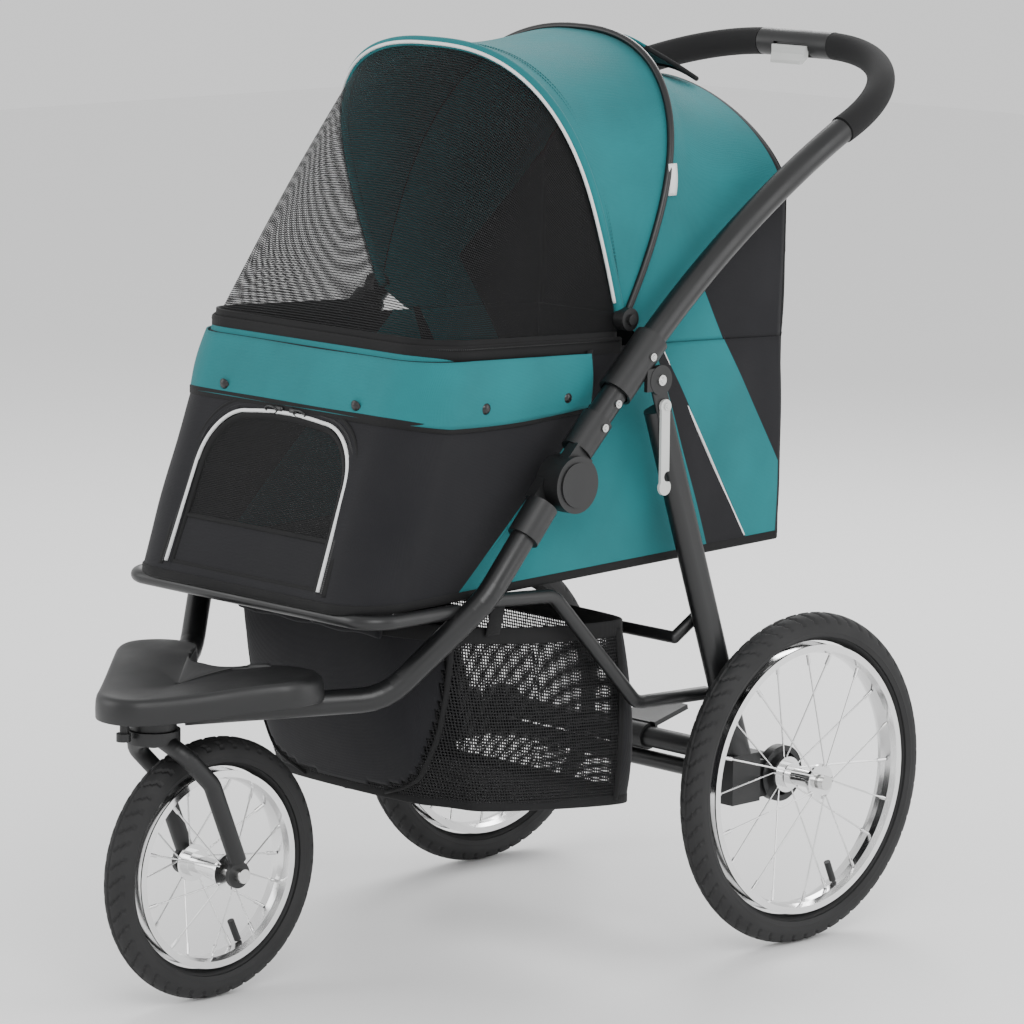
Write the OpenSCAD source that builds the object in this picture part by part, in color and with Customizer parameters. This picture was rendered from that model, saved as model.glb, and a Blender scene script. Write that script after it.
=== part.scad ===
// Three-wheel pet stroller. Millimetres. +Z up, -Y forward, +X is the stroller's left side.
// Origin: on the ground, under the middle of the whole stroller.

/* [Wheels] */
// Outer diameter of the rear tyres
rear_d = 390; // [380:1:395]
// Outer diameter of the front tyre
front_d = 296; // [290:1:300]
// Section width of the tyres
tyre_w = 36; // [32:1:36]
// Distance between the two rear wheel planes
track = 538; // [538:1:548]
// Y position of the rear axle
rear_axle_y = 269; // [265:1:272]
// Y position of the front axle
front_axle_y = -403; // [-405:1:-401]
// Number of spokes in each wheel
spoke_count = 20; // [16:4:24]

/* [Frame] */
// Sideways position of the side tubes
side_x = 234; // [233:1:235]
// Outer diameter of the lower front tubes
front_tube_d = 28; // [26:1:28]
// Outer diameter of the upper side tubes
upper_tube_d = 30; // [28:1:30]
// Outer diameter of the handle bar
handle_d = 25; // [24:1:26]
// Outer diameter of the foam grip
grip_d = 33; // [31:1:33]
// Radius of the two corners of the handle
handle_corner_r = 196; // [186:1:196]
// Width of the oval rear legs
leg_w = 24; // [22:1:24]
// Depth of the oval rear legs
leg_depth = 34; // [30:1:34]

/* [Cabin] */
// Half width of the cabin outside
cabin_half_w = 198; // [194:1:198]
// Height of the cabin's bottom edge at the front
cabin_bottom_z = 457; // [456:1:460]
// Height of the cabin's top rim at the front
cabin_rim_z = 727; // [720:1:728]
// Thickness of the padded fabric walls
wall = 4; // [3:0.5:5]

/* [Hidden] */
$fn = 48;
gap = 0.3;
soft_fn = 32;
bend_step = 11;

black = [0.14, 0.145, 0.15];
charcoal = [0.17, 0.175, 0.19];
teal = [0.29, 0.56, 0.58];
silver = [0.8, 0.8, 0.8];
pale_grey = [0.78, 0.79, 0.78];

// The fold linkage of one side, as [y, z] points
fold_yz = [-88, 576];
link_yz = [-200, 452];
leg_top_yz = [42, 681];
leg_end_yz = [199, 219];
link_end_yz = [172, 299];
hood_yz = [32, 746];

rear_r = rear_d / 2;
front_r = front_d / 2;
rear_rim_r = rear_r - tyre_w;
front_rim_r = front_r - tyre_w;
rear_x = track / 2;
head_y = -485;
nose_z = 345;

// The tube line passes just in front of the fold joint, a little steeper below it than above
line_mid = [-98, 583];
lower_slope = 48.5;
upper_slope = 45.2;
function line_yz(a) =
    let (slope = a < 0 ? lower_slope : upper_slope) line_mid + a * [cos(slope), sin(slope)];

// Lower front tube: nose, bend, slope, and the end inside the fold hub
front_path = [[45, -478, nose_z - 4], [165, -292, 350],
    [side_x, line_yz(-165)[0], line_yz(-165)[1]], [side_x, line_yz(-42)[0], line_yz(-42)[1]]];

// The upper side tube is straight, then one long arc between two slopes
straight_top = 134.4;
arc_r = 1443;
arc_from = upper_slope;
arc_to = 27.5;
arc_start = line_yz(straight_top);
arc_centre = arc_start + arc_r * [sin(arc_from), -cos(arc_from)];
function on_arc(slope) = arc_centre + arc_r * [-sin(slope), cos(slope)];
arc_end = on_arc(arc_to);
// The handle is a flat U from the ends of the arcs
handle_slope = 23.6;

// ---------- helpers ----------

// Straight round bar between two points
module rod(p, q, r) {
    d = q - p;
    translate(p)
        rotate([0, acos(d[2] / norm(d)), atan2(d[1], d[0])])
            cylinder(r = r, h = norm(d));
}

function unit(v) = v / norm(v);
function turn(u, v) = acos(min(1, max(-1, u * v)));
function into(p, i) = unit(p[i] - p[i - 1]);
function leaving(p, i) = unit(p[i + 1] - p[i]);
function setback(p, i, bend) =
    i <= 0 || i >= len(p) - 1 ? 0 : bend * tan(turn(into(p, i), leaving(p, i)) / 2);

// Points of one rounded corner, a short step apart
function corner_points(p, i, bend) =
    let (
        u = into(p, i),
        v = leaving(p, i),
        angle = turn(u, v),
        centre = p[i] + unit(v - u) * (bend / cos(angle / 2)),
        a = (p[i] - u * setback(p, i, bend) - centre) / bend,
        steps = ceil(angle / bend_step)
    )
    [for (k = [0 : steps]) centre + bend * (cos(angle * k / steps) * a + sin(angle * k / steps) * u)];

// Round tube through the points, with every corner bent to the same radius
module bent_tube(p, r, bend) {
    q = [p[0], for (i = [1 : 1 : len(p) - 2]) each corner_points(p, i, bend), p[len(p) - 1]];
    for (i = [0 : len(q) - 2]) rod(q[i], q[i + 1], r);
    for (i = [1 : len(q) - 2]) translate(q[i]) sphere(r = r + 0.05);
}

// Flat U of round tube standing on its two ends, which are foot above the origin
module u_tube(half_w, height, corner, foot, r) {
    for (side = [-1, 1]) mirror([side < 0 ? 1 : 0, 0, 0]) {
        translate([half_w, 0, foot]) cylinder(r = r, h = height - corner - foot);
        translate([half_w - corner, 0, height - corner]) rotate([90, 0, 0])
            rotate_extrude(angle = 90, $fn = 120) translate([corner, 0]) circle(r = r);
    }
    translate([corner - half_w, 0, height]) rotate([0, 90, 0])
        cylinder(r = r, h = 2 * (half_w - corner));
}

// Disc or pin along X, from x0 to x1, at a [y, z] point
module x_disc(yz, r, x0, x1) {
    translate([min(x0, x1), yz[0], yz[1]])
        rotate([0, 90, 0]) cylinder(r = r, h = abs(x1 - x0));
}

// Straight bar with a rounded flat section between two [y, z] points of one side plane
module flat_bar(a, b, x, width, depth) {
    d = b - a;
    translate([x, a[0], a[1]])
        rotate([-atan2(d[0], d[1]), 0, 0])
            linear_extrude(norm(d)) union() {
                square([width, depth - width], center = true);
                for (s = [-1, 1]) translate([0, s * (depth - width) / 2]) circle(d = width);
            }
}

// Long arc of round bar in one side plane, between two slopes
module side_arc(x, r, from, to) {
    translate([x, arc_centre[0], arc_centre[1]])
        rotate([90, 0, 90])
            rotate([0, 0, 90 + to])
                rotate_extrude(angle = from - to, $fn = 360)
                    translate([arc_r, 0]) circle(r = r);
}

// Bolt head with a domed cap, facing +X or -X
module bolt_head(x, yz, r, side) {
    translate([x, yz[0], yz[1]])
        rotate([0, side * 90, 0]) {
            cylinder(r = r, h = 2);
            cylinder(r1 = r * 0.8, r2 = r * 0.45, h = 3.2);
        }
}

// ---------- lower front frame ----------

module front_tube(side) {
    color(black) mirror([side < 0 ? 1 : 0, 0, 0])
        bent_tube(front_path, front_tube_d / 2, 70);
}

module head_block() {
    color(black) difference() {
        union() {
            translate([0, head_y, nose_z - 19]) cylinder(r = 23, h = 31);
            translate([-44, head_y - 4, nose_z - 12]) cube([88, 24, 24]);
        }
        for (side = [-1, 1]) mirror([side < 0 ? 1 : 0, 0, 0])
            rod(front_path[0] - [10, 15, 0], front_path[1], front_tube_d / 2 + gap);
        translate([0, head_y, nose_z - 30]) cylinder(r = 8.05, h = 60);
    }
}

nose_tip_r = 46;
nose_wing_r = 23;
nose_wing = [106, -392];

module nose_outline(inset) {
    for (side = [-1, 1]) hull() {
        translate([0, -551 + nose_tip_r]) circle(r = nose_tip_r - inset, $fn = soft_fn);
        translate([side * nose_wing[0], nose_wing[1]])
            circle(r = nose_wing_r - inset, $fn = soft_fn);
    }
}

module nose_cover() {
    color(black) difference() {
        union() {
            translate([0, 0, nose_z - 17]) linear_extrude(24) nose_outline(0);
            translate([0, 0, nose_z + 6]) linear_extrude(10) nose_outline(5);
            translate([0, 0, nose_z + 15]) linear_extrude(7) nose_outline(12);
        }
        translate([0, 0, nose_z - 20]) linear_extrude(24) nose_outline(4);
        translate([0, 0, nose_z + 3]) linear_extrude(10) nose_outline(10);
        for (side = [-1, 1]) mirror([side < 0 ? 1 : 0, 0, 0])
            rod(front_path[0], front_path[1], front_tube_d / 2 + gap);
    }
}

seat_bar_z = 445;

module seat_bar() {
    color(black) difference() {
        translate([0, -226, seat_bar_z]) rotate([90, 0, 0]) u_tube(208, 126, 34, 0, 8);
        for (side = [-1, 1]) mirror([side < 0 ? 1 : 0, 0, 0])
            rod(front_path[1], front_path[2], front_tube_d / 2 + 0.05);
    }
}

hub_split = side_x - 1;
hub_r = 32;

// Sleeve on the tube line, from distance a to distance b above the fold joint
module line_sleeve(a, b, r) {
    rod([side_x, line_yz(a)[0], line_yz(a)[1]], [side_x, line_yz(b)[0], line_yz(b)[1]], r);
}

// Neck between the sleeve and its own half of the fold joint
module hub_neck(a, x0, x1) {
    translate([x0, line_mid[0], line_mid[1]]) rotate([a < 0 ? lower_slope : upper_slope, 0, 0])
        translate([0, min(0, a), -16]) cube([x1 - x0, abs(a), 32]);
}

module fold_hub(side) {
    color(black) mirror([side < 0 ? 1 : 0, 0, 0]) difference() {
        union() {
            x_disc(fold_yz, hub_r - 1, side_x - 15, hub_split);
            line_sleeve(-82, -37, 18.5);
            hub_neck(-38, side_x - 14.5, hub_split - 0.4);
        }
        line_sleeve(-120, -41.5, front_tube_d / 2 + 0.02);
        x_disc(fold_yz, 5.05, side_x - 30, side_x + 10);
    }
}

// ---------- cabin ----------

corner_r = 55;

// Cabin outline at one height: square at the back, round at the front corners
module cabin_outline(front_y, inset) {
    hull() {
        for (side = [-1, 1])
            translate([side * (cabin_half_w - corner_r), front_y + corner_r])
                circle(r = corner_r - inset, $fn = soft_fn);
        translate([-cabin_half_w + inset, 270]) square([2 * (cabin_half_w - inset), 23 - inset]);
    }
}

floor_tilt = 1.3;
front_lean = 0.385;

module cabin_solid(inset, floor_z, top_z) {
    hull() {
        translate([0, 0, floor_z + 8]) rotate([floor_tilt, 0, 0])
            linear_extrude(1) cabin_outline(-360, inset);
        translate([0, 0, top_z - 1])
            linear_extrude(1) cabin_outline(-360 + front_lean * (top_z - floor_z), inset);
    }
}

rim_cut = 2.4;

// Everything under the sloping rim of the cabin
module under_rim(drop) {
    translate([0, 32, 715 - drop]) rotate([-rim_cut, 0, 0])
        translate([-300, -500, -400]) cube([600, 900, 400]);
}

door_half_w = 132;
door_lean = atan(front_lean);
door_foot = [-360 + front_lean * 9, 466];

// Door outline on the front wall: straight foot and sides, arched top
module door_outline(inset) {
    hull() {
        translate([-door_half_w + inset, inset]) square([2 * (door_half_w - inset), 10]);
        for (side = [-1, 1]) translate([side * (door_half_w - 45), 128])
            circle(r = 45 - inset, $fn = soft_fn);
        translate([0, 143]) circle(r = 50 - inset, $fn = soft_fn);
    }
}

module on_front_wall(depth0, depth1) {
    translate([0, door_foot[0], door_foot[1]]) rotate([90 - door_lean, 0, 0])
        translate([0, 0, -depth1]) linear_extrude(depth1 - depth0) children();
}

module cabin_shell() {
    color(charcoal) difference() {
        intersection() {
            cabin_solid(0, cabin_bottom_z, 735);
            under_rim(0);
        }
        cabin_solid(wall, cabin_bottom_z + wall, 760);
        on_front_wall(-30, 30) door_outline(-1);
    }
}

module cabin_cushion() {
    color(charcoal) translate([0, 0, cabin_bottom_z + wall + 10]) rotate([floor_tilt, 0, 0])
        linear_extrude(24) cabin_outline(-338, 14);
}

module rim_band() {
    color(teal) difference() {
        intersection() {
            cabin_solid(-5, cabin_bottom_z, 735);
            under_rim(6);
        }
        cabin_solid(-gap, cabin_bottom_z, 735);
        translate([-300, -20, 300]) cube([600, 600, 600]);
        translate([-300, -500, 200]) cube([600, 900, 652 - 200]);
    }
}

module band_snaps() {
    color(black) for (side = [-1, 1]) {
        for (y = [-60, -185])
            translate([side * (cabin_half_w + 5 + gap), y, 664]) rotate([0, side * 90, 0])
                cylinder(r = 7, h = 4);
        translate([side * 112, -360 + front_lean * 207 - 5 - 2 * gap, 664])
            rotate([90 - door_lean, 0, 0]) cylinder(r = 7, h = 4);
    }
}

// ---------- hood ----------

// Arch section: upright sides, round shoulders, low crown
module arch(half_w, shoulder, crown, foot) {
    hull() {
        translate([-half_w, foot]) square([2 * half_w, 1]);
        for (side = [-1, 1]) translate([side * (half_w - 110), shoulder - 40])
            circle(r = 110, $fn = soft_fn);
        translate([-60, crown - 20]) square([120, 20]);
    }
}

// Arch standing on edge at a [y, z] foot, leaning back or forward
module arch_plate(y, z, lean, half_w, shoulder, crown, foot) {
    translate([0, y, z]) rotate([90 + lean, 0, 0]) translate([0, 0, -0.5])
        linear_extrude(1) arch(half_w, shoulder, crown, foot);
}

hoop_lean = 19;

hood_half_w = cabin_half_w - 2.5;
bow_r = 3.5;

module hood_solid(inset, front, back) {
    hull() {
        arch_plate(48.5 - front, 717, hoop_lean, hood_half_w - inset, 250, 343 - inset, -20);
        arch_plate(128, 717, 0, hood_half_w - inset, 262, 336 - inset, -20);
        arch_plate(292 + back, 700, 0, hood_half_w - inset, 150, 262 - inset, -20);
    }
}

module canopy() {
    color(teal) difference() {
        hood_solid(0, 0, 0);
        hood_solid(wall, 12, -wall);
        under_rim(-gap);
    }
}

// Round bow from pivot to pivot over the hood, in a plane leaning about the hood hinge
module bow(half_w, height, lean) {
    translate([0, hood_yz[0], hood_yz[1]]) rotate([lean, 0, 0])
        u_tube(half_w, height, 125, 14, bow_r);
}

module main_bow() {
    color(black) bow(214.7, 336, -22);
}

module front_bow() {
    color(black) bow(207, 321, hoop_lean);
}

module hood_hinges() {
    color(black) for (side = [-1, 1]) mirror([side < 0 ? 1 : 0, 0, 0]) {
        x_disc(hood_yz, 13, 199, 214);
        x_disc(hood_yz, 6, 214, 218);
    }
}

module mesh_dome() {
    color(black) difference() {
        dome_solid(0);
        dome_solid(3);
        translate([-300, 20, 600]) cube([600, 300, 600]);
        translate([0, hood_yz[0], hood_yz[1]]) rotate([hoop_lean, 0, 0])
            translate([-300, -6, -200]) cube([600, 300, 700]);
        x_disc(hood_yz, 30, -300, 300);
        under_rim(-gap);
    }
}

module dome_solid(inset) {
    hull() {
        translate([0, 0, 719]) linear_extrude(1) difference() {
            cabin_outline(-268, 4 + inset);
            translate([-300, 20]) square([600, 400]);
        }
        arch_plate(38, 717, hoop_lean, 198 - inset, 240, 341 - inset, 0);
    }
}

// ---------- basket ----------

module basket_solid(inset) {
    hull() {
        translate([-150 + inset, -262 + inset, 424])
            cube([300 - 2 * inset, 80, 1 + inset]);
        translate([-185 + inset, -196 + inset, 424])
            cube([370 - 2 * inset, 288 - 2 * inset, 1 + inset]);
        translate([-150 + inset, -240 + inset, 330])
            cube([300 - 2 * inset, 80, 1]);
        translate([-185 + inset, -190 + inset, 330])
            cube([370 - 2 * inset, 282 - 2 * inset, 1]);
        translate([-150 + inset, -205 + inset, 212 + inset])
            cube([300 - 2 * inset, 40, 1]);
        translate([-165 + inset, -60 + inset, 180 + inset])
            cube([330 - 2 * inset, 142 - 2 * inset, 1]);
    }
}

module basket() {
    color(charcoal) difference() {
        basket_solid(0);
        basket_solid(wall);
    }
}

// ---------- front door ----------

module front_door() {
    color(black) on_front_wall(-0.5, 2.5) door_outline(1);
}

// ---------- upper frame and handle ----------

module upper_tube(side) {
    color(black) mirror([side < 0 ? 1 : 0, 0, 0]) {
        side_arc(side_x, upper_tube_d / 2, arc_from, arc_to);
        line_sleeve(45, straight_top, upper_tube_d / 2);
        translate([side_x, arc_start[0], arc_start[1]]) sphere(r = upper_tube_d / 2 + 0.05);
    }
}

// Points of the flat handle, measured along its slope from the ends of the arcs
function handle_point(x, v) =
    [x, arc_end[0] + v * cos(handle_slope), arc_end[1] + v * sin(handle_slope)];

module handle_bend(r, foot) {
    translate([0, arc_end[0], arc_end[1]]) rotate([handle_slope - 90, 0, 0])
        u_tube(side_x, handle_corner_r, handle_corner_r - 4, foot, r);
}

module handle_bar() {
    color(black) handle_bend(handle_d / 2, 1.3);
}

module handle_grip() {
    color([0.09, 0.09, 0.09]) difference() {
        handle_bend(grip_d / 2, 1.3);
        handle_bend(handle_d / 2 + 0.02, -1);
        translate([-58, 400, 950]) cube([116, 200, 200]);
    }
}

module release_housing() {
    middle = handle_point(0, handle_corner_r);
    color(black) difference() {
        rod(middle - [57, 0, 0], middle + [57, 0, 0], 16.6);
        handle_bend(handle_d / 2 + 0.02, 0);
        translate(middle + [-28, -22, -22]) cube([56, 16, 24]);
    }
}

lever_pivot = handle_point(0, handle_corner_r) + [0, -9.5, 0.8];

module release_lever() {
    color(pale_grey) translate(lever_pivot) {
        translate([-27, -11, -14]) cube([54, 7, 12]);
        hull() {
            translate([-27, -11, -16]) cube([54, 7, 4]);
            translate([-24, -16, -24]) cube([48, 5, 4]);
        }
    }
}

module leg_bracket(side) {
    color(black) mirror([side < 0 ? 1 : 0, 0, 0]) difference() {
        union() {
            rod([side_x, line_yz(122)[0], line_yz(122)[1]],
                [side_x, on_arc(42.5)[0], on_arc(42.5)[1]], 20);
            x_disc(leg_top_yz, 17, side_x + 14.5, side_x + 20);
            translate([side_x + 14.5, leg_top_yz[0] - 22, leg_top_yz[1] - 12]) cube([5, 30, 26]);
        }
        rod([side_x, line_yz(112)[0], line_yz(112)[1]],
            [side_x, on_arc(41.5)[0], on_arc(41.5)[1]], upper_tube_d / 2 + 1.6);
    }
}

module fold_cap(side) {
    color(black) mirror([side < 0 ? 1 : 0, 0, 0]) {
        difference() {
            union() {
                x_disc(fold_yz, hub_r, hub_split + 0.5, side_x + 20);
                x_disc(fold_yz, hub_r - 7, side_x + 20, side_x + 22);
                line_sleeve(38, 84, 18.5);
                hub_neck(39, hub_split + 0.9, side_x + 14);
            }
            line_sleeve(44, 130, upper_tube_d / 2 + 0.02);
        }
        x_disc(fold_yz, 5, side_x - 14, hub_split + 1);
    }
}

// Bolt heads on the outer faces of the upper frame, both sides
module frame_bolts() {
    tube_face = side_x + upper_tube_d / 2;
    color(silver) for (side = [-1, 1]) {
        bolt_head(side * (tube_face + 0.1), line_yz(108), 4.5, side);
        bolt_head(side * (side_x + 18.6), line_yz(74), 4.5, side);
        bolt_head(side * (side_x + 20.1), on_arc(43.5), 4.5, side);
        bolt_head(side * (side_x + 20.1), leg_top_yz, 6, side);
    }
}

// ---------- rear legs and axle ----------

function on_leg(t) = leg_top_yz + t * (leg_end_yz - leg_top_yz);
leg_x = side_x + 2;

module rear_leg(side) {
    color(black) mirror([side < 0 ? 1 : 0, 0, 0])
        flat_bar(on_leg(0.075), on_leg(1), leg_x, leg_w, leg_depth);
    color(black) mirror([side < 0 ? 1 : 0, 0, 0])
        flat_bar(on_leg(0), on_leg(0.09), side_x + 12, 4, 23);
    color(black) mirror([side < 0 ? 1 : 0, 0, 0])
        x_disc(leg_top_yz, 11.5, side_x + 10, side_x + 14);
}

// Space of both rear legs, a little larger
module leg_space(clear) {
    for (side = [-1, 1]) mirror([side < 0 ? 1 : 0, 0, 0])
        flat_bar(on_leg(0.075), on_leg(1.02), leg_x, leg_w + 2 * clear, leg_depth + 2 * clear);
}

module rear_cross_bar() {
    corner = [206, 119, 371];
    end = [215, 147, 395.4];
    color(black) {
        rod([-corner[0], corner[1], corner[2]], corner, 7);
        for (side = [-1, 1]) mirror([side < 0 ? 1 : 0, 0, 0]) {
            rod(corner, end, 7);
            x_disc([end[1], end[2]], 7, end[0], leg_x - leg_w / 2 - 0.05);
            for (joint = [corner, end]) translate(joint) sphere(r = 7.05);
        }
    }
}

axle_z = rear_r;
bar_end_x = 222;

module axle_tube() {
    color(black) x_disc([rear_axle_y - 2, axle_z + 9], 12.5, -bar_end_x, bar_end_x);
}

module brake_bar() {
    color(black) x_disc([rear_axle_y - 2, axle_z - 18], 10, -bar_end_x, bar_end_x);
}

module axle_casting(side) {
    color(black) mirror([side < 0 ? 1 : 0, 0, 0]) difference() {
        union() {
            x_disc([rear_axle_y, axle_z], 33, 228, 240);
            x_disc([rear_axle_y, axle_z], 24, 222.2, 229);
            translate([222.2, 186, axle_z - 24]) cube([14, 86, 44]);
            translate([222.2, 176, axle_z - 24]) cube([26, 46, 58]);
        }
        x_disc([rear_axle_y, axle_z], 26, 233, 241);
        x_disc([rear_axle_y, axle_z], 6.02, 221, 242);
        leg_space(0.02);
    }
}

module rear_axles() {
    color(silver) for (side = [-1, 1]) mirror([side < 0 ? 1 : 0, 0, 0]) {
        x_disc([rear_axle_y, axle_z], 6, 223, 304);
        x_disc([rear_axle_y, axle_z], 8.5, 303, 310);
    }
}

pedal_yz = [rear_axle_y - 2, axle_z + 9];

module brake_pedal() {
    color(charcoal) difference() {
        union() {
            x_disc(pedal_yz, 16, -24, 24);
            translate([-30, pedal_yz[0] + 4, pedal_yz[1] + 12]) rotate([14, 0, 0])
                cube([60, 58, 6]);
            translate([-24, pedal_yz[0], pedal_yz[1] + 8]) cube([48, 14, 10]);
        }
        x_disc(pedal_yz, 12.6, -40, 40);
    }
}

hook_yz = on_leg(0.067);
hook_x = leg_x + leg_w / 2 + 0.4;

module transport_hook() {
    color(pale_grey) translate([hook_x, hook_yz[0], hook_yz[1]]) rotate([90, 0, 90])
        difference() {
            linear_extrude(3.5) hook_outline();
            translate([0, 0, -1]) cylinder(r = 2.6, h = 6);
        }
    color(silver) bolt_head(hook_x + 3.6, hook_yz, 4, 1);
}

module hook_outline() {
    difference() {
        union() {
            circle(r = 8);
            translate([-7, -92]) square([13, 92]);
            translate([0, -92]) circle(r = 9);
        }
        translate([4, -80]) circle(r = 6);
        translate([4, -86]) square([12, 12]);
    }
}

link_x = side_x - 28;

module side_link(side) {
    color(black) mirror([side < 0 ? 1 : 0, 0, 0]) {
        bent_tube([[link_x, link_yz[0], link_yz[1]], [link_x, -77, 444], [link_x, 58, 303],
            [link_x, link_end_yz[0], link_end_yz[1]]], 8, 26);
        x_disc(link_yz, 6, link_x, link_x + 9);
        x_disc(link_end_yz, 6, link_x, leg_x - 12.5);
    }
}

// ---------- front fork and swivel ----------

fork_x = 46;

module front_fork() {
    color(black) {
        translate([0, head_y, nose_z - 48]) cylinder(r = 8, h = 58);
        translate([0, head_y, nose_z - 42]) cylinder(r = 30, h = 14);
        translate([0, head_y, nose_z - 27.5]) cylinder(r = 26, h = 8);
        for (side = [-1, 1]) mirror([side < 0 ? 1 : 0, 0, 0]) {
            bent_tube([[12, head_y + 2, nose_z - 38], [fork_x, head_y + 8, 292],
                [fork_x, -440, 255], [fork_x, front_axle_y, front_r + 16]], 10, 26);
            x_disc([front_axle_y, front_r], 15, fork_x - 3, fork_x + 3);
            translate([fork_x - 3, front_axle_y - 9, front_r])
                cube([6, 16, 24]);
        }
    }
}

module front_axle() {
    color(silver) {
        x_disc([front_axle_y, front_r], 5, 3 - fork_x, fork_x - 3);
        for (side = [-1, 1]) x_disc([front_axle_y, front_r], 8, side * (fork_x + 3.1), side * (fork_x + 12));
    }
}

module swivel_lock() {
    color(black) translate([0, head_y - 41, nose_z - 30]) {
        cylinder(r = 5, h = 15);
        translate([0, -1, -6]) cylinder(r = 8, h = 9);
    }
}

// ---------- wheels ----------

// Places a wheel made about the X axis
module at_wheel(x, y, r) {
    translate([x, y, r]) rotate([0, 90, 0]) children();
}

module tyre(r) {
    color([0.1, 0.1, 0.105]) rotate_extrude($fn = 160)
        translate([r - tyre_w / 2, 0]) circle(r = tyre_w / 2);
}

rim_w = 30;

module rim(rim_r) {
    color(silver) rotate_extrude($fn = 160) polygon([
        [rim_r - 0.4, -rim_w / 2], [rim_r - 0.4, -rim_w / 2 + 2], [rim_r - 5, -rim_w / 2 + 2.5],
        [rim_r - 7, 0], [rim_r - 5, rim_w / 2 - 2.5], [rim_r - 0.4, rim_w / 2 - 2],
        [rim_r - 0.4, rim_w / 2], [rim_r - 8, rim_w / 2], [rim_r - 11, 8],
        [rim_r - 12, 0], [rim_r - 11, -8], [rim_r - 8, -rim_w / 2]]);
}

module hub(half_gap, bore_r, flange_r) {
    color(silver) difference() {
        union() {
            for (side = [-1, 1]) translate([0, 0, side * half_gap - 1.5])
                cylinder(r = flange_r, h = 3);
            translate([0, 0, -half_gap]) cylinder(r = 10, h = 2 * half_gap);
            for (side = [-1, 1]) translate([0, 0, side * (half_gap - 5) - 4])
                cylinder(r = 15, h = 8);
        }
        translate([0, 0, -half_gap - 5]) cylinder(r = bore_r, h = 2 * half_gap + 10);
    }
}

module spokes(half_gap, flange_r, rim_r) {
    color(silver) for (k = [0 : spoke_count - 1]) {
        side = k % 2 == 0 ? 1 : -1;
        cross = k % 4 < 2 ? 14 : -14;
        a = 360 / spoke_count * k;
        from = [(flange_r - 3) * cos(a + cross), (flange_r - 3) * sin(a + cross),
            side * (half_gap + 3.5)];
        to = [(rim_r - 12.6) * cos(a), (rim_r - 12.6) * sin(a), side * 3];
        rod(from, to, 1);
        rod(to - unit(to - from) * 12, to, 2.1);
    }
}

rear_hub_gap = 26;
front_hub_gap = 30;
flange_r = 21;

module rear_wheel_part(side, part) {
    at_wheel(side * (rear_x + (part == "hub" || part == "spokes" ? 4 : 0)), rear_axle_y, rear_r) {
        if (part == "tyre") tyre(rear_r);
        if (part == "rim") rim(rear_rim_r);
        if (part == "hub") hub(rear_hub_gap, 6.05, flange_r);
        if (part == "spokes") spokes(rear_hub_gap, flange_r, rear_rim_r);
    }
}

module front_wheel_part(part) {
    at_wheel(0, front_axle_y, front_r) {
        if (part == "tyre") tyre(front_r);
        if (part == "rim") rim(front_rim_r);
        if (part == "hub") hub(front_hub_gap, 5.05, flange_r);
        if (part == "spokes") spokes(front_hub_gap, flange_r, front_rim_r);
    }
}

// Small rubber valve stems, one in each wheel
module valve(rim_r, angle) {
    rotate([0, 0, angle]) translate([rim_r - 14, 0, 0]) rotate([0, -90, 0]) cylinder(r = 4, h = 26);
}

module valves(which) {
    color(black) {
        if (which == "left") at_wheel(rear_x, rear_axle_y, rear_r) valve(rear_rim_r, 24);
        if (which == "right") at_wheel(-rear_x, rear_axle_y, rear_r) valve(rear_rim_r, 60);
        if (which == "front") at_wheel(0, front_axle_y, front_r) valve(front_rim_r, 24);
    }
}

front_tube(1);  // front_tube_left
front_tube(-1);  // front_tube_right
head_block();
nose_cover();
seat_bar();
fold_hub(1);  // fold_hub_left
fold_hub(-1);  // fold_hub_right
cabin_shell();
cabin_cushion();
rim_band();
band_snaps();
canopy();
main_bow();
hood_hinges();
basket();
front_bow();
mesh_dome();
front_door();
upper_tube(1);  // upper_tube_left
upper_tube(-1);  // upper_tube_right
handle_bar();
handle_grip();
release_housing();
leg_bracket(1);  // leg_bracket_left
leg_bracket(-1);  // leg_bracket_right
fold_cap(1);  // fold_cap_left
fold_cap(-1);  // fold_cap_right
frame_bolts();
release_lever();
rear_leg(1);  // rear_leg_left
rear_leg(-1);  // rear_leg_right
rear_cross_bar();
axle_tube();
brake_bar();
axle_casting(1);  // axle_casting_left
axle_casting(-1);  // axle_casting_right
rear_axles();
brake_pedal();
transport_hook();
side_link(1);  // side_link_left
side_link(-1);  // side_link_right
front_fork();
front_axle();
swivel_lock();
rear_wheel_part(1, "tyre");  // rear_tyre_left
rear_wheel_part(1, "rim");  // rear_rim_left
rear_wheel_part(1, "hub");  // rear_hub_left
rear_wheel_part(1, "spokes");  // rear_spokes_left
valves("left");  // rear_valve_left
rear_wheel_part(-1, "tyre");  // rear_tyre_right
rear_wheel_part(-1, "rim");  // rear_rim_right
rear_wheel_part(-1, "hub");  // rear_hub_right
rear_wheel_part(-1, "spokes");  // rear_spokes_right
valves("right");  // rear_valve_right
front_wheel_part("tyre");  // front_tyre
front_wheel_part("rim");  // front_rim
front_wheel_part("hub");  // front_hub
front_wheel_part("spokes");  // front_spokes
valves("front");  // front_valve
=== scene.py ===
import math

import bmesh
import bpy
import numpy as np
from mathutils import Matrix, Vector


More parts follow.
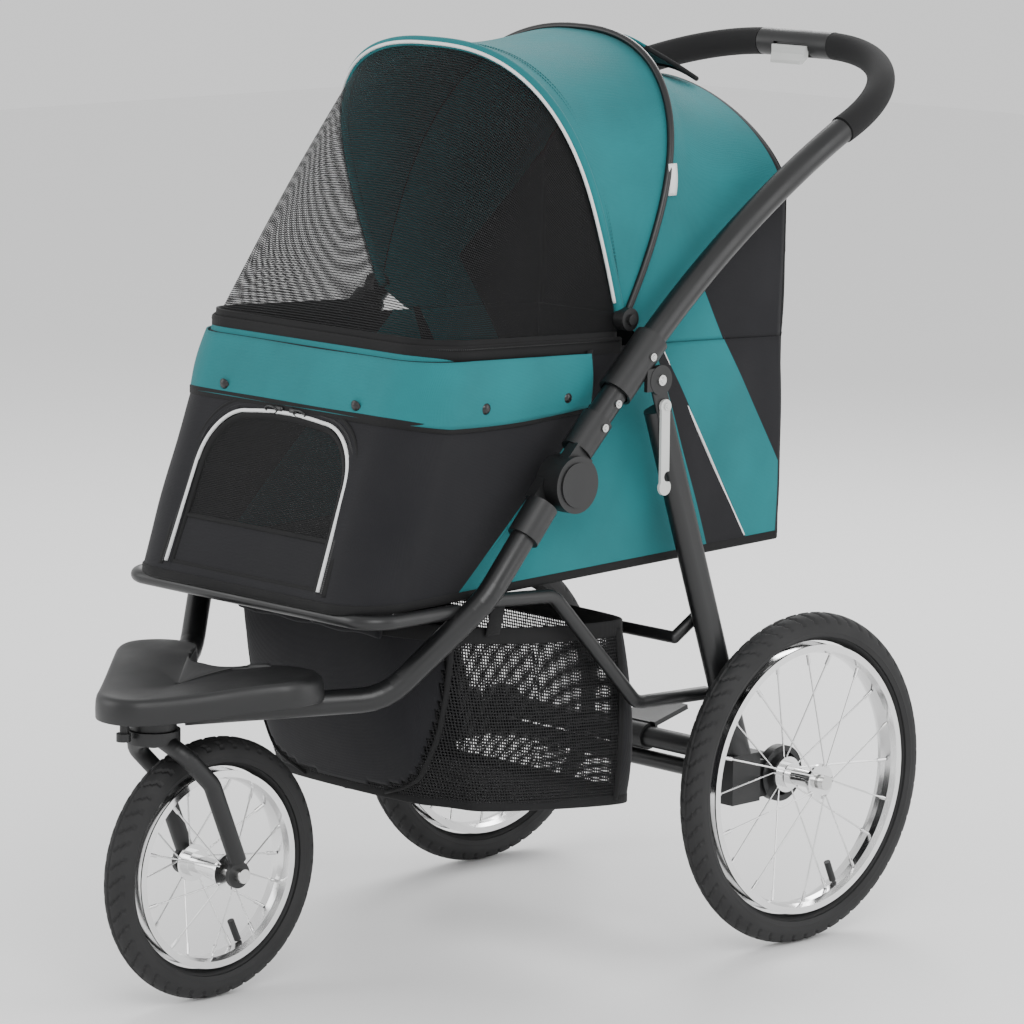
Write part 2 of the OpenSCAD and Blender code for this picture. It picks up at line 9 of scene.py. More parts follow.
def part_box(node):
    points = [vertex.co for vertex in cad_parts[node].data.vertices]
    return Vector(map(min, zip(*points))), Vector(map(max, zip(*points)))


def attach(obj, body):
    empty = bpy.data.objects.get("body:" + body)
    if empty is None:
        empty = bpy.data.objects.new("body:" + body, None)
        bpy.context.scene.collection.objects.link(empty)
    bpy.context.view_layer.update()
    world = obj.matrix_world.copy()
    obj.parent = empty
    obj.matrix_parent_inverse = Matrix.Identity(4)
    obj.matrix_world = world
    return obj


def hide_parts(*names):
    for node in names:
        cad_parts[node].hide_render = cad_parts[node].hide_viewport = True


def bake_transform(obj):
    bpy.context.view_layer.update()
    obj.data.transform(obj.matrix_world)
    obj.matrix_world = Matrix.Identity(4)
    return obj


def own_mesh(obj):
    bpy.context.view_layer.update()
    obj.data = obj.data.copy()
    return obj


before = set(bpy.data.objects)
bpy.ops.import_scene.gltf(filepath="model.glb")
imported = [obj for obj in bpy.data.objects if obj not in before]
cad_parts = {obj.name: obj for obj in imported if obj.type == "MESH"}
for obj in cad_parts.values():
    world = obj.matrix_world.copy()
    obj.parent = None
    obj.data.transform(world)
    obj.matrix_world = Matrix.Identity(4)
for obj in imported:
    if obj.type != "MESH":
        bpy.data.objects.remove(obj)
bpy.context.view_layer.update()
scene = bpy.context.scene
MM = 0.001
LEFT, RIGHT = 1, -1
UP = (0, 0, 1)
BACKWARD = (0, 1, 0)


# ---------- materials ----------


class Paint:
    """A Principled material and short ways to wire its pattern nodes."""

    def __init__(self, name, colour, roughness, metallic=0.0, **sockets):
        self.mat = bpy.data.materials.new(name)
        self.mat.use_nodes = True
        self.tree = self.mat.node_tree
        self.shader = self.tree.nodes["Principled BSDF"]
        self.set("Base Color", (*colour, 1))
        self.set("Roughness", roughness)
        self.set("Metallic", metallic)
        for socket, value in sockets.items():
            self.set(socket.replace("_", " "), value)

    def set(self, socket, value):
        self.shader.inputs[socket].default_value = value

    def node(self, kind, **inputs):
        n = self.tree.nodes.new(kind)
        for key, value in inputs.items():
            if key.startswith("p_"):
                setattr(n, key[2:], value)
            elif isinstance(value, bpy.types.NodeSocket):
                self.tree.links.new(value, n.inputs[key.replace("_", " ")])
            else:
                n.inputs[key.replace("_", " ")].default_value = value
        return n

    def maths(self, operation, a, b=0.0, clamp=False):
        n = self.tree.nodes.new("ShaderNodeMath")
        n.operation = operation
        n.use_clamp = clamp
        for socket, value in zip(n.inputs, (a, b)):
            if isinstance(value, bpy.types.NodeSocket):
                self.tree.links.new(value, socket)
            else:
                socket.default_value = value
        return n.outputs[0]

    def place(self, kind="Object"):
        return self.node("ShaderNodeTexCoord").outputs[kind]

    def axes(self, where):
        split = self.node("ShaderNodeSeparateXYZ", Vector=where)
        return split.outputs

    def noise(self, where, scale, detail=3.0):
        return self.node(
            "ShaderNodeTexNoise", Vector=where, Scale=scale, Detail=detail
        ).outputs["Fac"]

    def ramp(self, value, low, high, to_low, to_high):
        n = self.node("ShaderNodeMapRange", Value=value)
        for key, number in (
            ("From Min", low),
            ("From Max", high),
            ("To Min", to_low),
            ("To Max", to_high),
        ):
            n.inputs[key].default_value = number
        return n.outputs["Result"]

    def mix(self, share, colour_a, colour_b):
        n = self.tree.nodes.new("ShaderNodeMix")
        n.data_type = "RGBA"
        self.tree.links.new(share, n.inputs["Factor"])
        for key, value in (("A", colour_a), ("B", colour_b)):
            socket = [s for s in n.inputs if s.name == key and s.type == "RGBA"][0]
            if isinstance(value, bpy.types.NodeSocket):
                self.tree.links.new(value, socket)
            else:
                socket.default_value = (*value, 1)
        return [s for s in n.outputs if s.type == "RGBA"][0]

    def feed(self, socket, value):
        self.tree.links.new(value, self.shader.inputs[socket])

    def bump(self, height, strength, distance):
        n = self.node(
            "ShaderNodeBump", Strength=strength, Distance=distance, Height=height
        )
        self.feed("Normal", n.outputs["Normal"])

    def vary_colour(self, share, low, high):
        self.feed("Base Color", self.mix(share, low, high))


def scaled(colour, k):
    return tuple(min(1.0, c * k) for c in colour)


def weave_height(p, where, pitch):
    """Height of a plain weave from three crossing sets of threads."""
    turns = 2 * math.pi / pitch
    waves = [
        p.maths("SINE", p.maths("MULTIPLY", axis, turns)) for axis in p.axes(where)[:3]
    ]
    return p.maths("ADD", p.maths("ADD", waves[0], waves[1]), waves[2])


def cloth(name, colour, pitch=1.5 * MM, roughness=0.82, sheen=0.05):
    p = Paint(
        name,
        colour,
        roughness,
        Sheen_Weight=sheen,
        Sheen_Roughness=0.5,
        Specular_IOR_Level=0.28,
    )
    where = p.place()
    folds = p.noise(where, 9, 4)
    thread = weave_height(p, where, pitch)
    p.vary_colour(
        p.ramp(folds, 0.3, 0.7, 0, 1), scaled(colour, 0.86), scaled(colour, 1.12)
    )
    p.feed("Roughness", p.ramp(folds, 0.3, 0.7, roughness - 0.06, roughness + 0.06))
    p.bump(
        p.maths("ADD", p.maths("MULTIPLY", thread, 0.12), folds), 0.35, 1.2 * MM
    )
    return p


def netting(name, colour, pitch, solid):
    """Open net: square cells on the piece's own UV map, in metres."""
    p = Paint(name, colour, 0.7, Specular_IOR_Level=0.3)
    where = p.place("UV")
    along, across, _ = p.axes(where)
    turns = math.pi / pitch
    cell = p.maths(
        "ABSOLUTE",
        p.maths(
            "MULTIPLY",
            p.maths("SINE", p.maths("MULTIPLY", along, turns)),
            p.maths("SINE", p.maths("MULTIPLY", across, turns)),
        ),
    )
    p.feed("Alpha", p.ramp(cell, solid + 0.08, solid - 0.08, 0, 1))
    shade = p.noise(p.place(), 12)
    p.vary_colour(shade, scaled(colour, 0.7), scaled(colour, 1.4))
    p.bump(cell, 0.4, 0.6 * MM)
    return p


def hard(name, colour, roughness, grain, depth, metallic=0.0, spread=0.08, **sockets):
    p = Paint(name, colour, roughness, metallic, **sockets)
    where = p.place()
    fine = p.noise(where, grain, 2)
    broad = p.noise(where, 14, 4)
    p.vary_colour(broad, scaled(colour, 0.85), scaled(colour, 1.18))
    p.feed(
        "Roughness", p.ramp(broad, 0.3, 0.7, roughness - spread, roughness + spread)
    )
    p.bump(fine, depth, 0.25 * MM)
    return p


TEAL = (0.010, 0.150, 0.165)
BLACK_CLOTH = (0.0085, 0.0085, 0.0105)
powder_coat = hard("powder_coat", (0.0075, 0.0078, 0.0083), 0.36, 900, 0.18)
moulded_black = hard("moulded_black", (0.0085, 0.0088, 0.0093), 0.46, 1400, 0.3)
glossy_black = hard("glossy_black", (0.008, 0.008, 0.0085), 0.3, 1200, 0.12)
foam = hard("foam_grip", (0.007, 0.007, 0.0075), 0.93, 2200, 0.9, spread=0.04)
zinc = hard("zinc_plate", (0.66, 0.66, 0.65), 0.24, 500, 0.08, 1.0, 0.08)
bright_rim = hard("polished_rim", (0.82, 0.82, 0.82), 0.17, 260, 0.05, 1.0, 0.06)
tyre_rubber = hard("tyre_rubber", (0.0105, 0.0105, 0.011), 0.72, 600, 0.35)
pale_plastic = hard("pale_plastic", (0.56, 0.57, 0.555), 0.42, 1200, 0.15)
black_cloth = cloth("black_oxford", BLACK_CLOTH)
teal_cloth = cloth("teal_oxford", TEAL)
binding = cloth("black_binding", (0.006, 0.006, 0.0065), 1.1 * MM, 0.78, 0.03)
white_piping = cloth("white_piping", (0.78, 0.79, 0.79), 0.9 * MM, 0.5, 0.1)
thread_teal = cloth("teal_thread", scaled(TEAL, 0.7), 0.6 * MM, 0.7, 0.1)
hood_net = netting("hood_net", (0.006, 0.006, 0.0065), 2.0 * MM, 0.46)
basket_net = netting("basket_net", (0.006, 0.006, 0.0065), 3.8 * MM, 0.46)


def line_side(p, y, z, a, b):
    """Signed value: above zero on the rear side of the line through two [y, z] points."""
    slope = (b[0] - a[0]) / (b[1] - a[1])
    line = p.maths("ADD", p.maths("MULTIPLY", z, slope), a[0] - slope * a[1])
    return p.maths("SUBTRACT", y, line)


def step_at(p, value):
    return p.ramp(value, -0.0004, 0.0004, 0, 1)


SEAM_FRONT = ((-0.183, 0.496), (-0.033, 0.636))
SEAM_STRIP = ((0.175, 0.471), (0.097, 0.676))
SEAM_PIPED = ((0.237, 0.478), (0.099, 0.704))
SEAM_REAR = ((0.280, 0.574), (0.160, 0.771))
SEAM_TOP = ((0.160, 0.771), (0.305, 0.905))


def two_colour_cloth(name):
    """Teal cloth with black panels cut along straight seams on both sides."""
    p = cloth(name, TEAL)
    teal_mix = p.shader.inputs["Base Color"].links[0].from_socket
    _, y, z = p.axes(p.place())
    front = p.maths("SUBTRACT", 1.0, step_at(p, line_side(p, y, z, *SEAM_FRONT)))
    strip = p.maths(
        "MULTIPLY",
        step_at(p, line_side(p, y, z, *SEAM_STRIP)),
        p.maths("SUBTRACT", 1.0, step_at(p, line_side(p, y, z, *SEAM_PIPED))),
    )
    strip = p.maths("MULTIPLY", strip, step_at(p, p.maths("SUBTRACT", 0.716, z)))
    rear = p.maths(
        "MULTIPLY",
        step_at(p, line_side(p, y, z, *SEAM_REAR)),
        step_at(p, line_side(p, y, z, *SEAM_TOP)),
    )
    low = step_at(p, p.maths("SUBTRACT", 0.72, z))
    black = p.maths("MAXIMUM", p.maths("MULTIPLY", front, low), strip)
    black = p.maths("MAXIMUM", black, rear)
    black = p.maths("MAXIMUM", black, step_at(p, p.maths("SUBTRACT", y, 0.2895)))
    p.feed("Base Color", p.mix(black, teal_mix, BLACK_CLOTH))
    return p


panelled = two_colour_cloth("panelled_oxford")


# ---------- mesh helpers ----------


def make(name, verts, faces, paint, body, slot, smooth=True, uv=None):
    """A mesh piece at the origin that rides on a body."""
    mesh = bpy.data.meshes.new(name)
    mesh.from_pydata([tuple(map(float, v)) for v in verts], [], [tuple(map(int, f)) for f in faces])
    if uv is not None:
        layer = mesh.uv_layers.new(name="UVMap")
        index = np.empty(len(mesh.loops), np.int32)
        mesh.loops.foreach_get("vertex_index", index)
        layer.data.foreach_set("uv", np.asarray(uv, np.float32)[index].ravel())
    mesh.validate()
    obj = bpy.data.objects.new(name, mesh)
    scene.collection.objects.link(obj)
    paints = paint if isinstance(paint, (list, tuple)) else [paint]
    for p in paints:
        mesh.materials.append(p.mat)
    mesh.polygons.foreach_set("use_smooth", [smooth] * len(mesh.polygons))
    if body:
        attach(obj, body)
    return obj


def grid_faces(rows, cols, closed_rows=False, closed_cols=False):
    out = []
    for i in range(rows if closed_rows else rows - 1):
        for j in range(cols if closed_cols else cols - 1):
            a, b = i * cols + j, i * cols + (j + 1) % cols
            k = ((i + 1) % rows) * cols
            out.append((a, b, k + (j + 1) % cols, k + j))
    return out


def metres_uv(points, rows, cols):
    """UV map of a grid of points, in metres along its rows and columns."""
    p = np.asarray(points, float).reshape(rows, cols, 3)
    u = np.zeros((rows, cols))
    v = np.zeros((rows, cols))
    u[:, 1:] = np.cumsum(np.linalg.norm(np.diff(p, axis=1), axis=2).mean(0))[None, :]
    v[1:, :] = np.cumsum(np.linalg.norm(np.diff(p, axis=0), axis=2).mean(1))[:, None]
    return np.stack([u, v], 2).reshape(-1, 2)


def modify(obj, kind, **settings):
    """Adds a modifier, applies it and keeps the object at the origin."""
    m = obj.modifiers.new(kind.lower(), kind)
    for key, value in settings.items():
        setattr(m, key, value)
    bpy.context.view_layer.update()
    made = bpy.data.meshes.new_from_object(
        obj.evaluated_get(bpy.context.evaluated_depsgraph_get())
    )
    obj.modifiers.clear()
    obj.data = made
    return obj


def thicken(obj, thickness, offset=-1.0):
    return modify(obj, "SOLIDIFY", thickness=thickness, offset=offset)


def flipped(faces):
    return [face[::-1] for face in faces]


def panel(name, points, shape, paint, slot, body="root", thick=None, faces=None, turned_over=False):
    """A cloth panel from a grid of points. shape is (rows, columns); thick is (thickness, offset)."""
    faces = grid_faces(*shape) if faces is None else faces
    faces = flipped(faces) if turned_over else faces
    piece = make(name, points, faces, paint, None, slot, uv=metres_uv(points, *shape))
    if thick:
        thicken(piece, *thick)
    if body:
        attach(piece, body)
    return piece


def tangents(p, closed=False):
    if closed:
        t = np.roll(p, -1, 0) - np.roll(p, 1, 0)
    else:
        t = np.gradient(p, axis=0)
    return t / np.maximum(np.linalg.norm(t, axis=1), 1e-9)[:, None]


def sweep(path, section, up=(0, 0, 1), closed=False, twist_free=False):
    """Sweeps a closed 2-D section along a path. up is the section's second axis, for all points or for each."""
    p = np.asarray(path, float)
    t = tangents(p, closed)
    ups = np.broadcast_to(np.asarray(up, float), p.shape).copy()
    if twist_free:
        for i in range(1, len(p)):
            ups[i] = ups[i - 1] - t[i] * np.dot(ups[i - 1], t[i])
            ups[i] /= max(np.linalg.norm(ups[i]), 1e-9)
    side = np.cross(t, ups)
    side /= np.maximum(np.linalg.norm(side, axis=1), 1e-9)[:, None]
    ups = np.cross(side, t)
    s = np.asarray(section, float)
    verts = (
        p[:, None, :]
        + side[:, None, :] * s[None, :, 0:1]
        + ups[:, None, :] * s[None, :, 1:2]
    ).reshape(-1, 3)
    n = len(s)
    faces = [f[::-1] for f in grid_faces(len(p), n, closed, True)]
    if not closed:
        faces.append(tuple(range(n)))
        faces.append(tuple(reversed(range((len(p) - 1) * n, len(p) * n))))
    return verts, faces


def round_section(radius, sides=12):
    a = np.linspace(0, 2 * math.pi, sides, endpoint=False)
    return np.stack([radius * np.cos(a), radius * np.sin(a)], 1)


def tape_section(width, thickness):
    """Flat tape with softened edges: wide along the second axis."""
    w, t = width / 2, thickness / 2
    e = min(t, w) * 0.8
    return np.array(
        [
            (t, -w + e), (t, 0), (t, w - e), (t - e, w),
            (e - t, w), (-t, w - e), (-t, 0), (-t, e - w), (e - t, -w), (t - e, -w),
        ]
    )


def joined(parts):
    verts, faces, base = [], [], 0
    for v, f in parts:
        verts.append(np.asarray(v, float).reshape(-1, 3))
        faces += [tuple(i + base for i in face) for face in f]
        base += len(v)
    return np.vstack(verts), faces


def resampled(path, count):
    p = np.asarray(path, float)
    d = np.concatenate([[0], np.cumsum(np.linalg.norm(np.diff(p, axis=0), axis=1))])
    at = np.linspace(0, d[-1], count)
    return np.stack([np.interp(at, d, p[:, k]) for k in range(3)], 1)


def smoothed(path, rounds=2):
    p = np.asarray(path, float)
    for _ in range(rounds):
        q = np.empty((2 * len(p) - 2, 3))
        q[0::2] = 0.75 * p[:-1] + 0.25 * p[1:]
        q[1::2] = 0.25 * p[:-1] + 0.75 * p[1:]
        p = np.vstack([p[:1], q, p[-1:]])
    return p


def ripple(points, size, scale, seed):
    """Small smooth unevenness of cloth, the same each run."""
    p = np.asarray(points, float)
    rng = np.random.default_rng(seed)
    out = np.zeros(len(p))
    for _ in range(6):
        k = rng.normal(size=3) * scale
        out += np.sin(p @ k + rng.uniform(0, 2 * math.pi))
    return out * size / 3


def run_tree(name, paths, body, paint, spacing, build_item):
    """Geometry Nodes: copies of one small item at a spacing along each path, facing along it."""
    curve = bpy.data.curves.new(name + "_path", "CURVE")
    curve.dimensions = "3D"
    for path in paths:
        spline = curve.splines.new("POLY")
        spline.points.add(len(path) - 1)
        for point, co in zip(spline.points, path):
            point.co = (*map(float, co), 1)
    holder = bpy.data.objects.new(name + "_path", curve)
    scene.collection.objects.link(holder)
    tree = bpy.data.node_groups.new(name + "_tree", "GeometryNodeTree")
    tree.interface.new_socket("Geometry", in_out="INPUT", socket_type="NodeSocketGeometry")
    step = tree.interface.new_socket("Spacing", in_out="INPUT", socket_type="NodeSocketFloat")
    tree.interface.new_socket("Geometry", in_out="OUTPUT", socket_type="NodeSocketGeometry")
    nodes, link = tree.nodes, tree.links.new
    start, end = nodes.new("NodeGroupInput"), nodes.new("NodeGroupOutput")
    resample = nodes.new("GeometryNodeResampleCurve")
    resample.mode = "LENGTH"
    tangent = nodes.new("GeometryNodeInputTangent")
    align = nodes.new("FunctionNodeAlignEulerToVector")
    align.axis = "Z"
    place = nodes.new("GeometryNodeInstanceOnPoints")
    realize = nodes.new("GeometryNodeRealizeInstances")
    set_paint = nodes.new("GeometryNodeSetMaterial")
    set_paint.inputs["Material"].default_value = paint.mat
    link(start.outputs["Geometry"], resample.inputs["Curve"])
    link(start.outputs["Spacing"], resample.inputs["Length"])
    link(tangent.outputs[0], align.inputs["Vector"])
    link(resample.outputs[0], place.inputs["Points"])
    link(align.outputs[0], place.inputs["Rotation"])
    link(build_item(nodes, link), place.inputs["Instance"])
    link(place.outputs[0], realize.inputs[0])
    link(realize.outputs[0], set_paint.inputs["Geometry"])
    link(set_paint.outputs[0], end.inputs[0])
    modifier = holder.modifiers.new("run", "NODES")
    modifier.node_group = tree
    modifier[step.identifier] = spacing
    bpy.context.view_layer.update()
    mesh = bpy.data.meshes.new_from_object(
        holder.evaluated_get(bpy.context.evaluated_depsgraph_get())
    )
    bpy.data.objects.remove(holder)
    piece = bpy.data.objects.new(name, mesh)
    scene.collection.objects.link(piece)
    if not mesh.materials:
        mesh.materials.append(paint.mat)
    if body:
        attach(piece, body)
    return piece


def stitch_item(length, radius):
    def build(nodes, link):
        bar = nodes.new("GeometryNodeMeshCylinder")
        bar.inputs["Vertices"].default_value = 6
        bar.inputs["Radius"].default_value = radius
        bar.inputs["Depth"].default_value = length
        return bar.outputs["Mesh"]

    return build


def tooth_item(size):
    def build(nodes, link):
        cube = nodes.new("GeometryNodeMeshCube")
        cube.inputs["Size"].default_value = size
        return cube.outputs["Mesh"]

    return build


# ---------- cabin ----------

HALF_W = 0.198
HINGE = np.array([0.032, 0.746])
REAR_Y = 0.293
CORNER = 0.055


def front_y(z):
    return -0.360 + 0.385 * (z - 0.457)


def floor_z(y):
    return 0.4655 + 0.0227 * y


def rim_z(y):
    return 0.715 - 0.0419 * (y - 0.032)


def cabin_loop(z_of, count=420, out=0.0, start=REAR_Y):
    """Points and normals round the cabin at the height z_of(y), from y = start on the left to the right."""
    n_corner, n_front = 26, 70
    n_side = (count - 2 * n_corner - n_front) // 2
    fy = front_y(z_of(-0.28))
    turn = np.linspace(0, math.pi / 2, n_corner)[1:]
    cos, sin = np.cos(turn), np.sin(turn)
    ys = np.linspace(start, fy + CORNER, n_side)
    xs = np.linspace(0, HALF_W - CORNER, n_front // 2)[::-1][1:]
    flat = HALF_W - CORNER
    rows = [(HALF_W, y, 1.0, 0.0) for y in ys]
    rows += [(flat + CORNER * c, fy + CORNER * (1 - s), c, -s) for c, s in zip(cos, sin)]
    rows += [(x, fy, 0.0, -1.0) for x in xs]
    left = np.array(rows)
    p = np.vstack([left, left[-2::-1] * (-1, 1, -1, 1)])
    z = np.array([z_of(y) for y in p[:, 1]])
    lean = np.clip(-p[:, 3], 0, 1)
    y = p[:, 1] + np.where(p[:, 1] < fy + CORNER + 1e-9, front_y(z) - fy, 0.0)
    points = np.stack([p[:, 0] + out * p[:, 2], y + out * p[:, 3], z], 1)
    normals = np.stack([p[:, 2], p[:, 3] * 0.933, -0.359 * lean], 1)
    return points, normals


def clear_of_frame(points):
    """Keeps the side cloth clear of the tubes that run along it."""
    p = np.asarray(points, float)
    p[:, 0] = np.clip(p[:, 0], -0.2045, 0.2045)
    return p


DOOR_FOOT = np.array([-0.360 + 0.385 * 0.009, 0.466])
DOOR_TILT = math.atan(0.385)
DOOR_OUT = (0, -math.cos(DOOR_TILT), -math.sin(DOOR_TILT))
DOOR_UP = (0, math.sin(DOOR_TILT), math.cos(DOOR_TILT))


def on_door(x, up, out):
    """A point on the front wall: sideways, up the wall from the door's foot, and proud of it."""
    s, c = math.sin(DOOR_TILT), math.cos(DOOR_TILT)
    return (x, DOOR_FOOT[0] + up * s - out * c, DOOR_FOOT[1] + up * c + out * s)


def door_path(inset=0.0, foot=0.0, count=120):
    """Left foot, up the side, over the arched top and down to the right foot."""
    w, top, r = 0.131 - inset, 0.191 - inset, 0.062
    pts = [(w, foot)]
    pts += [(w - 0.004 * t, foot + (top - 0.062 - foot) * t) for t in np.linspace(0, 1, 14)[1:]]
    w2 = w - 0.004
    for a in np.linspace(0, math.pi / 2, 24)[1:]:
        pts.append((w2 - r + r * math.cos(a), top - r - 0.006 + (r + 0.006) * math.sin(a)))
    crown = [(x, top + 0.004 * (1 - (x / (w2 - r)) ** 2)) for x in np.linspace(w2 - r, 0, 14)[1:]]
    pts += crown
    pts = np.array(pts)
    pts = np.vstack([pts, np.stack([-pts[-2::-1, 0], pts[-2::-1, 1]], 1)])
    return resampled(np.column_stack([pts, np.zeros(len(pts))]), count)[:, :2]


def in_door(p, margin):
    """Which points of the front wall lie inside the door's opening."""
    s, c = math.sin(DOOR_TILT), math.cos(DOOR_TILT)
    up = (p[:, 1] - DOOR_FOOT[0]) * s + (p[:, 2] - DOOR_FOOT[1]) * c
    off = np.abs((p[:, 1] - DOOR_FOOT[0]) * c - (p[:, 2] - DOOR_FOOT[1]) * s)
    w, top, r = 0.127 - margin, 0.193 - margin, 0.062
    x = np.abs(p[:, 0])
    inside = (x < w) & (up < top) & (up > 0.002) & (off < 0.02)
    corner = (x > w - r) & (up > top - r)
    inside &= ~(corner & (np.hypot(x - (w - r), up - (top - r)) > r))
    return inside


def build_cabin():
    rows = 46
    levels = np.linspace(0, 1, rows)
    grid = []
    for t in levels:
        pts, nrm = cabin_loop(lambda y, t=t: floor_z(y) + t * (rim_z(y) - floor_z(y)))
        belly = math.sin(math.pi * t)
        puff = 0.0028 * belly + ripple(pts, 0.0011, 26, 3) * min(1, 4 * t, 5 * (1 - t))
        grid.append(pts + nrm * puff[:, None])
    cols = len(grid[0])
    pts = clear_of_frame(np.vstack(grid))
    faces = grid_faces(rows, cols)
    mid = np.array([pts[list(f)].mean(0) for f in faces])
    hole = in_door(mid, 0.004)
    faces = [f for f, gone in zip(faces, hole) if not gone]
    shell = panel(
        "cabin_side_cloth", pts, (rows, cols), panelled, "black_fabric", thick=(0.003,), faces=faces
    )
    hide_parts("cabin_shell")
    # rear wall
    xs, zs = np.linspace(-HALF_W, HALF_W, 60), np.linspace(0, 1, 40)
    rear = []
    for t in zs:
        for x in xs:
            z = floor_z(REAR_Y) + t * (rim_z(REAR_Y) - floor_z(REAR_Y))
            y = REAR_Y - 0.001 + 0.003 * math.sin(math.pi * t) * math.cos(x / HALF_W * math.pi / 2)
            rear.append((x, y, z))
    back = panel(
        "cabin_rear_cloth", rear, (40, 60), panelled, "black_fabric", thick=(0.003,), turned_over=True
    )
    loop, _ = cabin_loop(floor_z, out=-0.0035)
    half = len(loop) // 2
    floor_pts, rows_f = [], 40
    left, right = resampled(loop[: half + 1], 90), resampled(loop[half:][::-1], 90)
    for a, b in zip(left, right):
        for t in np.linspace(0, 1, rows_f):
            q = a * (1 - t) + b * t
            q[2] -= 0.003 * math.sin(math.pi * t)
            floor_pts.append(q)
    floor = panel(
        "cabin_floor_cloth",
        floor_pts,
        (90, rows_f),
        black_cloth,
        "black_fabric",
        thick=(0.003, 0),
        turned_over=True,
    )
    return [shell, back, floor]


def edge_tape(name, path, normals, width, thickness, paint, body="root", closed=False):
    v, f = sweep(path, tape_section(width, thickness), up=normals, closed=closed)
    return make(name, v, f, paint, body, "black_fabric")


def piping(name, path, radius, paint, body="root", slot="black_fabric"):
    v, f = sweep(path, round_section(radius, 10), twist_free=True, up=(0.1, 0.2, 1))
    return make(name, v, f, paint, body, slot)


def side_seam(points, out=0.0015, count=60):
    """Both sides' copies of a seam given as [y, z] points on the cabin's side."""
    runs = []
    for side in (LEFT, RIGHT):
        p = np.array([(side * (HALF_W + out), y, z) for y, z in points])
        p = resampled(smoothed(p), count)
        t = np.clip((p[:, 2] - floor_z(0)) / 0.25, 0, 1)
        p[:, 0] += side * 0.0028 * np.sin(math.pi * t)
        runs.append(p)
    return runs


cabin = build_cabin()


# ---------- rim band, zip and trims ----------


def band_low(y):
    """Lower edge of the teal band: it dips between the snaps."""
    t = np.clip((y + 0.02) / -0.28, 0, 1)
    return 0.652 - 0.007 * np.sin(math.pi * t) + 0.008 * max(0, t - 0.75) * 4


def build_band():
    rows = 16
    grid = []
    for t in np.linspace(0, 1, rows):
        pts, nrm = cabin_loop(
            lambda y, t=t: band_low(y) + t * (rim_z(y) - 0.006 - band_low(y)), start=-0.022
        )
        stand = 0.0062 + 0.0030 * math.sin(math.pi * t) + ripple(pts, 0.0009, 38, 11)
        grid.append(pts + nrm * stand[:, None])
    cols = len(grid[0])
    pts = np.vstack(grid)
    pts[:, 0] = np.clip(pts[:, 0], -0.2125, 0.2125)
    band = panel("rim_band_cloth", pts, (rows, cols), teal_cloth, "teal_fabric", thick=(0.0022,))
    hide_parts("rim_band")
    low, n_low = cabin_loop(band_low, start=-0.022)
    low = low + n_low * 0.0066
    edge_tape("band_binding", low[1:-1], UP, 0.011, 0.0034, binding)
    for side, name in ((1, "left"), (-1, "right")):
        z0, z1 = band_low(-0.022), rim_z(-0.022) - 0.006
        ends = [(side * 0.2052, -0.0225, z) for z in np.linspace(z0 - 0.004, z1 + 0.004, 14)]
        edge_tape(f"band_end_{name}", ends, (0, 1, 0), 0.009, 0.0036, binding)
    stitch_paths = []
    for lift in (0.009, 0.0125):
        q, nq = cabin_loop(lambda y, lift=lift: band_low(y) + lift, start=-0.03)
        stitch_paths.append(q + nq * (0.0062 + 0.0030 * math.sin(math.pi * lift / 0.066) + 0.0006))
    thread = stitch_item(0.0028, 0.00042)
    run_tree("band_stitches", stitch_paths, "root", thread_teal, 0.0042, thread)


def build_rim_zip():
    """Black binding and zip round the front of the rim, where the mesh hood closes."""
    pts, nrm = cabin_loop(lambda y: rim_z(y) + 0.0005, start=0.030)
    body = pts + nrm * 0.0015
    edge_tape("rim_binding", body, UP, 0.020, 0.0052, binding)
    zipper, nz = cabin_loop(lambda y: rim_z(y) + 0.007, start=0.026)
    run_tree(
        "rim_zip_teeth", [zipper + nz * 0.0050], "root", moulded_black,
        0.0024, tooth_item((0.0032, 0.0014, 0.0012)),
    )


def snap_profile():
    """Dome snap: radius and height of its outline."""
    dome = [(0.0, 0.0046), (0.0022, 0.0045), (0.0042, 0.0038), (0.0056, 0.0026), (0.0061, 0.0016)]
    return dome + [(0.0070, 0.0012), (0.0072, 0.0), (0.0, 0.0)]


def turned(profile, sides=28):
    """Closed solid from an outline turned about +Z, from its top centre to its bottom centre."""
    verts, faces = [], []
    rings = profile[1:-1]
    verts.append((0, 0, profile[0][1]))
    for r, h in rings:
        for k in range(sides):
            a = 2 * math.pi * k / sides
            verts.append((r * math.cos(a), r * math.sin(a), h))
    verts.append((0, 0, profile[-1][1]))
    for k in range(sides):
        faces.append((0, 1 + k, 1 + (k + 1) % sides))
    for i in range(len(rings) - 1):
        a, b = 1 + i * sides, 1 + (i + 1) * sides
        for k in range(sides):
            faces.append((a + k, b + k, b + (k + 1) % sides, a + (k + 1) % sides))
    last = len(verts) - 1
    b = 1 + (len(rings) - 1) * sides
    for k in range(sides):
        faces.append((b + k, last, b + (k + 1) % sides))
    return np.array(verts), faces


def facing(verts, normal, at):
    turn = Vector(normal).to_track_quat("Z", "Y").to_matrix()
    return np.asarray(verts) @ np.array(turn).T + np.asarray(at)


def build_snaps():
    parts = []
    v, f = turned(snap_profile())
    for side in (LEFT, RIGHT):
        for y in (-0.060, -0.185):
            parts.append((facing(v, (side, 0, 0), (side * 0.2068, y, 0.6655)), f))
        z = 0.667
        parts.append((facing(v, (0, -0.933, -0.359), (side * 0.110, front_y(z) - 0.0082, z)), f))
    snaps = make("snap_domes", *joined(parts), glossy_black, "root", "black_plastic")
    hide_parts("band_snaps")


